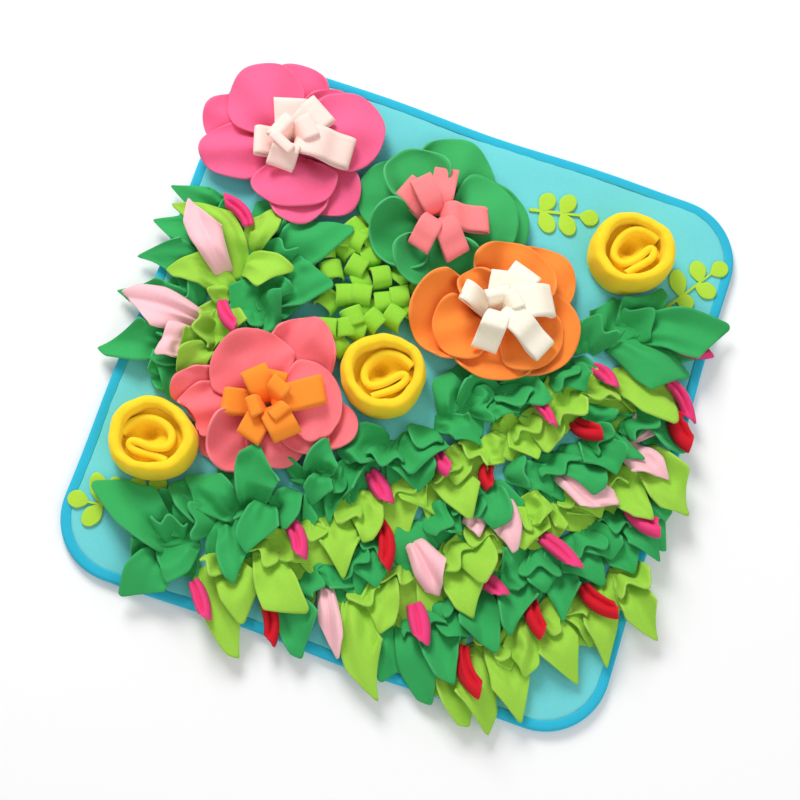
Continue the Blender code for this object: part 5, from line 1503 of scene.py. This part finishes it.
@dataclass
class Rose:
    """A rolled rose: a fat turned-over band and the curl inside it."""

    number: int
    x: float
    y: float
    turn: float
    curl_turn: float
    hand: float = 1.0

    FLOOR = 8.5
    RADIUS = 36.5
    BAND = 11.4
    HEIGHT = 38.0
    SIDES = 48
    SECTION = 19
    CURL_HEIGHT = 31.0
    CURL_BAND = 3.5
    CURL_LEAN = 2.5
    CUP_FLOOR = 27.0
    CURL = ((21, 8), (11, 16), (-2, 15.5), (-12, 7), (-16, -4), (-11, -11), (-2, -10), (8, -2),
            (16, 3), (18, -4), (10, -10), (1, -14), (-5, -20))
    HOLE = (-3.6, 4.3)
    HOLE_DEPTH = 16.0
    HOLE_REACH = 7.5
    CURL_STATIONS = 56
    CUP_ROWS = 13

    def centre(self) -> np.ndarray:
        """Middle of the rose."""
        return np.array([self.x, self.y], dtype=float)

    def band_sheet(self) -> np.ndarray:
        """Shape the band as a ring of cloth folded over along its top.

        Returns:
            Grid of points of its outer surface.
        """
        rng = np.random.default_rng(50 + self.number)
        theta = np.linspace(0, 2 * np.pi, self.SIDES, endpoint=False)[:, None]
        section = np.radians(np.linspace(-84, 264, self.SECTION))[None, :]
        turn = math.radians(self.turn)
        slump = 1.0 + 0.035 * np.cos(2 * theta + turn) + 0.03 * np.cos(3 * theta + rng.uniform(0, 6))
        slump = slump + 0.012 * np.cos(5 * theta + rng.uniform(0, 6))
        half = 0.5 * self.BAND
        fat = half * (1.0 + 0.12 * np.sin(2 * theta + rng.uniform(0, 6)))
        wrinkle = 0.35 * np.sin(7 * theta + 1.5 * section + rng.uniform(0, 6))
        wrinkle = wrinkle + 0.25 * np.sin(13 * theta - 2.0 * section + rng.uniform(0, 6))
        tall = np.sign(np.sin(section)) * np.float_power(np.abs(np.sin(section)), 0.8)
        wall = np.sign(np.cos(section)) * np.float_power(np.abs(np.cos(section)), 0.55)
        lean = 1.0 - 0.06 * (0.5 + 0.5 * tall)
        radius = (self.RADIUS - half) * slump * lean + (fat + wrinkle) * wall
        rim = self.HEIGHT + 1.6 * np.sin(theta + rng.uniform(0, 6)) + np.sin(3 * theta)
        z = self.FLOOR + 0.5 * rim * (1.0 + tall) + wrinkle
        xy = self.centre() + radius[..., None] * np.stack([np.cos(theta), np.sin(theta)], -1)
        return raised(xy, z)

    def curl_sheet(self) -> np.ndarray:
        """Shape the curl as a strip folded over along its top.

        Returns:
            Grid of points of its outer surface.
        """
        rng = np.random.default_rng(60 + self.number)
        spots = self.CURL + rng.uniform(-1.0, 1.0, (len(self.CURL), 2))
        share = np.linspace(0, len(spots) - 1, self.CURL_STATIONS)
        route = np.stack([np.interp(share, range(len(spots)), spots[:, k]) for k in (0, 1)], 1)
        for _ in range(8):
            route[1:-1] = 0.25 * route[:-2] + 0.5 * route[1:-1] + 0.25 * route[2:]
        x_way = direction(self.curl_turn)
        path = self.centre() + route[:, :1] * x_way + self.hand * route[:, 1:] * left_of(x_way)
        normal = left_side(path)
        section = np.radians(np.linspace(0, 180, 7))
        aside = np.concatenate([[1.0], np.cos(section), [-1.0]]) * self.CURL_BAND
        rise = np.concatenate([[0.0], self.CURL_HEIGHT - self.CURL_BAND
                               + self.CURL_BAND * np.sin(section), [0.0]])
        xy = path[:, None] + aside[None, :, None] * normal[:, None]
        outward = path - self.centre()
        outward = outward / np.maximum(np.linalg.norm(outward, axis=1), 3.0)[:, None]
        lean = self.CURL_LEAN * (rise / self.CURL_HEIGHT) ** 2
        xy = xy + lean[None, :, None] * outward[:, None]
        sway = 1.4 * np.sin(np.linspace(0, 9, len(path)) + self.number)[:, None]
        z = self.FLOOR + rise + sway * (rise / self.CURL_HEIGHT)
        return raised(xy, z)

    def floor_sheet(self) -> np.ndarray:
        """Shape the rumpled cloth at the bottom of the cup.

        Returns:
            Grid of points on its upper side.
        """
        x, y = disc(self.CUP_ROWS, self.CUP_ROWS)
        turn = math.radians(self.turn)
        z = self.CUP_FLOOR + 1.6 * np.sin(4.0 * x + 3.0 * y + turn) + 1.2 * np.cos(5.0 * y - 2 * x)
        radius = self.RADIUS - 0.8 * self.BAND
        aside = np.stack([radius * y, -radius * x], axis=2)
        away = np.linalg.norm(aside - self.HOLE, axis=2) / self.HOLE_REACH
        z = z - self.HOLE_DEPTH * np.exp(-away ** 4)
        return raised(self.centre() + aside, z)

    def build(self) -> None:
        """Build the band and the curl."""
        # The curl is given the yellow darkened as painted shade for the inside of the cup.
        for part, grid, ring, fleece in (("band", self.band_sheet(), True, YELLOW),
                                         ("curl", self.curl_sheet(), False, SHADED_YELLOW)):
            cloth = Cloth(f"rose_{part}_{self.number}_cloth", fleece)
            cloth.pressed = False
            cloth.add(grid if ring else grid[:, ::-1], ring)
            if not ring:
                cloth.add(self.floor_sheet())
            cloth.hang(f"rose_{part}_{self.number}")


ROSES = [Rose(1, 146, 171, -30, 19), Rose(2, -22, -6, -40, 10), Rose(3, -185, -122, -20, 215, -1.0)]


# ---------------------------------------------------------------------------------------
# Sprigs
# ---------------------------------------------------------------------------------------


@dataclass
class Sprig:
    """A flat sprig: a stem with leaflets on both sides."""

    number: int
    foot: tuple[float, float]
    tip: tuple[float, float]
    leaflets: list[tuple[float, float]]

    FLOOR = 8.4
    THICKNESS = 1.4
    LEAFLET_HALF = 7.7
    LEAFLET_REACH = 9.5
    STEM_HALF = 1.6
    ROWS = 9
    COLUMNS = 7

    def leaflet(self, root: np.ndarray, middle: np.ndarray) -> np.ndarray:
        """Shape a plump leaflet from its root through its middle.

        Args:
            root: Where it leaves the stem.
            middle: Its middle.

        Returns:
            Grid of points on its upper side.
        """
        out = unit(middle - root)
        length = np.linalg.norm(middle - root) + self.LEAFLET_REACH
        x, y = disc(self.ROWS, self.COLUMNS)
        width = self.LEAFLET_HALF * (0.62 + 0.38 * smooth(y + 1.0))
        xy = root + (0.5 * length * (1.0 + y))[..., None] * out
        xy = xy + (width * x)[..., None] * left_of(out)
        crown = 0.5 * (1 - x * x - y * y) + 0.25 * np.abs(x)
        z = self.FLOOR + self.THICKNESS + crown
        return raised(xy, z)

    def build(self, pile: Pile) -> None:
        """Build the sprig and add it to the pile."""
        foot, tip = np.array(self.foot, dtype=float), np.array(self.tip, dtype=float)
        along = unit(tip - foot)
        cloth = Cloth(f"sprig_{self.number}_cloth", SPRIG_GREEN, self.THICKNESS)
        v = np.linspace(-1, 1, 5)[None, :, None]
        u = np.linspace(0, 1, 12)[:, None, None]
        xy = foot + u * (tip - foot) + v * left_of(along) * self.STEM_HALF * (1 - 0.5 * u)
        cloth.add(raised(xy, np.full(xy.shape[:2], self.FLOOR + self.THICKNESS + 0.1)))
        for spot in self.leaflets:
            middle = np.array(spot, dtype=float)
            reach = (middle - foot) @ along
            aside = np.linalg.norm(middle - foot - along * reach)
            root = foot + along * (reach - max(0.55 * aside, 9.0 - aside))
            cloth.add(self.leaflet(root, middle))
        for grid, _ in cloth.sheets:
            pile.cover(refined(grid, 3))
        piece = cloth.build()
        dress(piece, f"sprig_{self.number}")


SPRIGS = [
    Sprig(1, (50, 186), (106, 199), [(63, 198), (69, 179), (81, 203), (87, 183), (102, 197)]),
    Sprig(2, (187, 133), (222, 186),
          [(194, 169), (205, 151), (209, 183), (221, 168), (226, 190)]),
    Sprig(3, (-178, -182), (-224, -188), [(-217, -170), (-212, -198), (-201, -168), (-227, -188)]),
    Sprig(4, (-155, -160), (-186, -168), [(-184, -162), (-169, -155)]),
    Sprig(5, (-80, 114), (-87, 124), [(-85, 121)]),
]


# ---------------------------------------------------------------------------------------
# Pad and binding
# ---------------------------------------------------------------------------------------


@dataclass
class Pad:
    """The padded square and the band that is folded round its edge."""

    width: float = PAD_WIDTH
    length: float = PAD_LENGTH
    corner: float = PAD_CORNER
    wave: float = 1.8
    reach: float = 9.3

    CORNER_POINTS = 17
    SIDE_POINTS = 60

    def outline(self, inset: float) -> np.ndarray:
        """Outline of the mat, a rounded square with slightly wavy sides.

        Args:
            inset: How far it lies inside the edge.

        Returns:
            Its points, counterclockwise.
        """
        half_x, half_y = 0.5 * self.width - inset, 0.5 * self.length - inset
        corner = self.corner - inset
        spots = []
        centres = [
            (half_x - corner, half_y - corner), (corner - half_x, half_y - corner),
            (corner - half_x, corner - half_y), (half_x - corner, corner - half_y),
        ]
        for k, (x, y) in enumerate(centres):
            for step in range(self.CORNER_POINTS):
                turn = 90.0 * k + 90.0 * step / (self.CORNER_POINTS - 1)
                spots.append(np.array([x, y]) + direction(turn) * corner)
            out = direction(90.0 * (k + 1))
            a, b = (np.array(centres[(k + m) % 4]) + out * corner for m in (0, 1))
            for step in range(1, self.SIDE_POINTS + 1):
                share = step / (self.SIDE_POINTS + 1)
                wave = self.wave * math.sin(3 * math.pi * share + k) * math.sin(math.pi * share)
                spots.append(a + (b - a) * share + out * wave)
        return np.array(spots)

    @staticmethod
    def swell(xy: np.ndarray) -> np.ndarray:
        """Soft unevenness of the filled pad.

        Args:
            xy: Places on the pad.

        Returns:
            Heights above its mean top.
        """
        x, y = xy[..., 0], xy[..., 1]
        slow = 0.5 * np.sin(x / 31.0 + 0.8) * np.sin(y / 37.0 + 2.1)
        return slow + 0.25 * np.sin(x / 13.0 + y / 17.0) + 0.2 * np.sin(y / 11.0 - x / 23.0 + 1.0)

    def build_pad(self) -> None:
        """Build the filled square."""
        rim = self.outline(5.0)
        shares = 1.0 - np.float_power(np.linspace(0.0, 1.0, 27), 1.15) * 0.985
        rings = np.array([rim * share for share in shares])
        z = PAD_TOP - 0.1 + 0.7 * self.swell(rings)
        z = np.where(np.arange(27)[:, None] == 0, PAD_TOP - 1.0, np.minimum(z, BINDING_TOP + 0.4))
        top = raised(rings, z)
        under = raised(rings[[-1, 0]], np.full((2, rings.shape[1]), 0.6))
        sections = np.concatenate([top, under])
        cloth = Cloth("pad_cloth", PAD_CYAN)
        cloth.add(np.swapaxes(sections, 0, 1), ring=True)
        piece = cloth.build()
        piece.modifiers.clear()
        self.close(piece)
        dress(piece, "pad")

    @staticmethod
    def close(piece: bpy.types.Object) -> None:
        """Close the two small holes in the middle of the pad."""
        work = bmesh.new()
        work.from_mesh(piece.data)
        rims = [edge for edge in work.edges if edge.is_boundary]
        made = bmesh.ops.holes_fill(work, edges=rims, sides=0)
        bmesh.ops.poke(work, faces=made["faces"])
        bmesh.ops.recalc_face_normals(work, faces=work.faces[:])
        work.to_mesh(piece.data)
        work.free()

    def build_binding(self) -> None:
        """Build the folded band."""
        turns = np.radians(np.linspace(-90, 90, 5))
        bulge = 2.4
        half = 0.5 * BINDING_TOP
        profile = [(self.reach, 0.4), (5.0, 0.2)]
        profile += [(bulge - bulge * math.cos(t), half + half * math.sin(t)) for t in turns]
        profile += [(5.0, BINDING_TOP + 0.2), (8.0, BINDING_TOP), (self.reach, BINDING_TOP - 0.6)]
        sections = []
        for inset, z in profile:
            ring = self.outline(inset)
            arc = np.arange(len(ring))
            pucker = 0.22 * np.sin(arc * 1.9 + inset) * (z > half) * min(inset / 6.0, 1.0)
            sections.append(raised(ring, z + pucker))
        cloth = Cloth("edge_binding_cloth", BINDING_BLUE, 1.2)
        cloth.add(np.swapaxes(np.array(sections), 0, 1), ring=True)
        cloth.hang("edge_binding")

    def build(self, pile: Pile) -> None:
        """Build both and start the pile with them."""
        self.build_pad()
        self.build_binding()
        half_x, half_y = 0.5 * self.width, 0.5 * self.length
        step = Pile.CELL
        x, y = np.meshgrid(np.arange(-half_x, half_x, step), np.arange(-half_y, half_y, step))
        pile.cover(np.stack([x, y, np.full_like(x, BINDING_TOP)], axis=-1))


# ---------------------------------------------------------------------------------------
# Studio
# ---------------------------------------------------------------------------------------


@dataclass
class Studio:
    """Camera, soft lights and a plain pale floor."""

    lens: float = 67.5
    eye: tuple[float, float, float] = (0.0218, -0.3186, 1.2594)
    right: tuple[float, float, float] = (0.94446, 0.32309, 0.06002)
    up: tuple[float, float, float] = (-0.3281, 0.91688, 0.22736)
    back: tuple[float, float, float] = (0.01843, -0.23442, 0.97196)
    sky: float = 0.52

    def build(self) -> None:
        """Set up the studio."""
        scene = bpy.context.scene
        scene.view_settings.view_transform = "Standard"
        self.build_camera(scene)
        self.build_floor()
        self.add_light("key_softbox", (-1.1, 1.3, 1.5), 0.9, 41.0)
        self.add_light("fill_softbox", (1.3, -0.9, 1.5), 1.6, 11.0)
        world = bpy.data.worlds.new("studio")
        world.use_nodes = True
        sky = world.node_tree.nodes["Background"]
        fill(sky, {"Color": (1.0, 1.0, 1.0, 1.0), "Strength": self.sky})
        scene.world = world

    @staticmethod
    def matrix(ways: list, place: tuple[float, float, float]) -> np.ndarray:
        """Matrix of something that stands at a place.

        Args:
            ways: Its right, up and back.
            place: Where it stands.

        Returns:
            The matrix, column by column.
        """
        matrix = np.eye(4)
        matrix[:3, :3] = np.array(ways).T
        matrix[:3, 3] = place
        return matrix.T

    def build_camera(self, scene: bpy.types.Scene) -> None:
        """Place the camera."""
        data = bpy.data.cameras.new("camera")
        data.lens = self.lens
        camera = bpy.data.objects.new("camera", data)
        camera.matrix_world = self.matrix([self.right, self.up, self.back], self.eye)
        scene.collection.objects.link(camera)
        scene.camera = camera

    @staticmethod
    def build_floor() -> None:
        """Lay the floor."""
        bpy.ops.object.select_all(action="DESELECT")
        bpy.ops.mesh.primitive_plane_add(size=6.0, location=(0, 0, -0.0006))
        floor = bpy.context.object
        floor.name = "studio_floor"
        material = bpy.data.materials.new("pale_floor")
        material.use_nodes = True
        shader = material.node_tree.nodes["Principled BSDF"]
        fill(shader, {"Base Color": (0.92, 0.92, 0.92, 1.0), "Roughness": 0.8})
        floor.data.materials.append(material)

    @classmethod
    def add_light(cls, name: str, place: tuple[float, float, float], size: float,
                  power: float) -> None:
        """Add a soft light that points at the mat.

        Args:
            name: Its name.
            place: Where it stands.
            size: Its side.
            power: Its power in watts.
        """
        data = bpy.data.lights.new(name, "AREA")
        data.size = size
        data.energy = power
        light = bpy.data.objects.new(name, data)
        back = unit(np.array(place))
        right = np.cross((0.0, 1.0, 0.0), back)
        right /= np.linalg.norm(right)
        light.matrix_world = cls.matrix([right, np.cross(back, right), back], place)
        bpy.context.scene.collection.objects.link(light)


def main() -> None:
    """Dress the mat from the ground up."""
    logging.basicConfig(level=logging.INFO, format="%(message)s")
    Studio().build()
    pile = Pile()
    Pad().build(pile)
    for sprig in SPRIGS:
        sprig.build(pile)
    for rose in ROSES:
        rose.build()
    loops = ArchedLoops(ARCHES)
    for row in FIELD + BUSH:
        row.lay_fillers(pile, 0)
    loops.lay(pile)
    for row in FIELD + BUSH:
        row.lay(pile, late=False)
    for flower in FLOWERS:
        flower.lay(pile)
    for row in FIELD + BUSH:
        row.lay(pile, late=True)
    pile.settle()
    loops.build()
    for flower in FLOWERS:
        flower.build()
    for row in FIELD + BUSH:
        row.build()


if __name__ == "__main__":
    main()
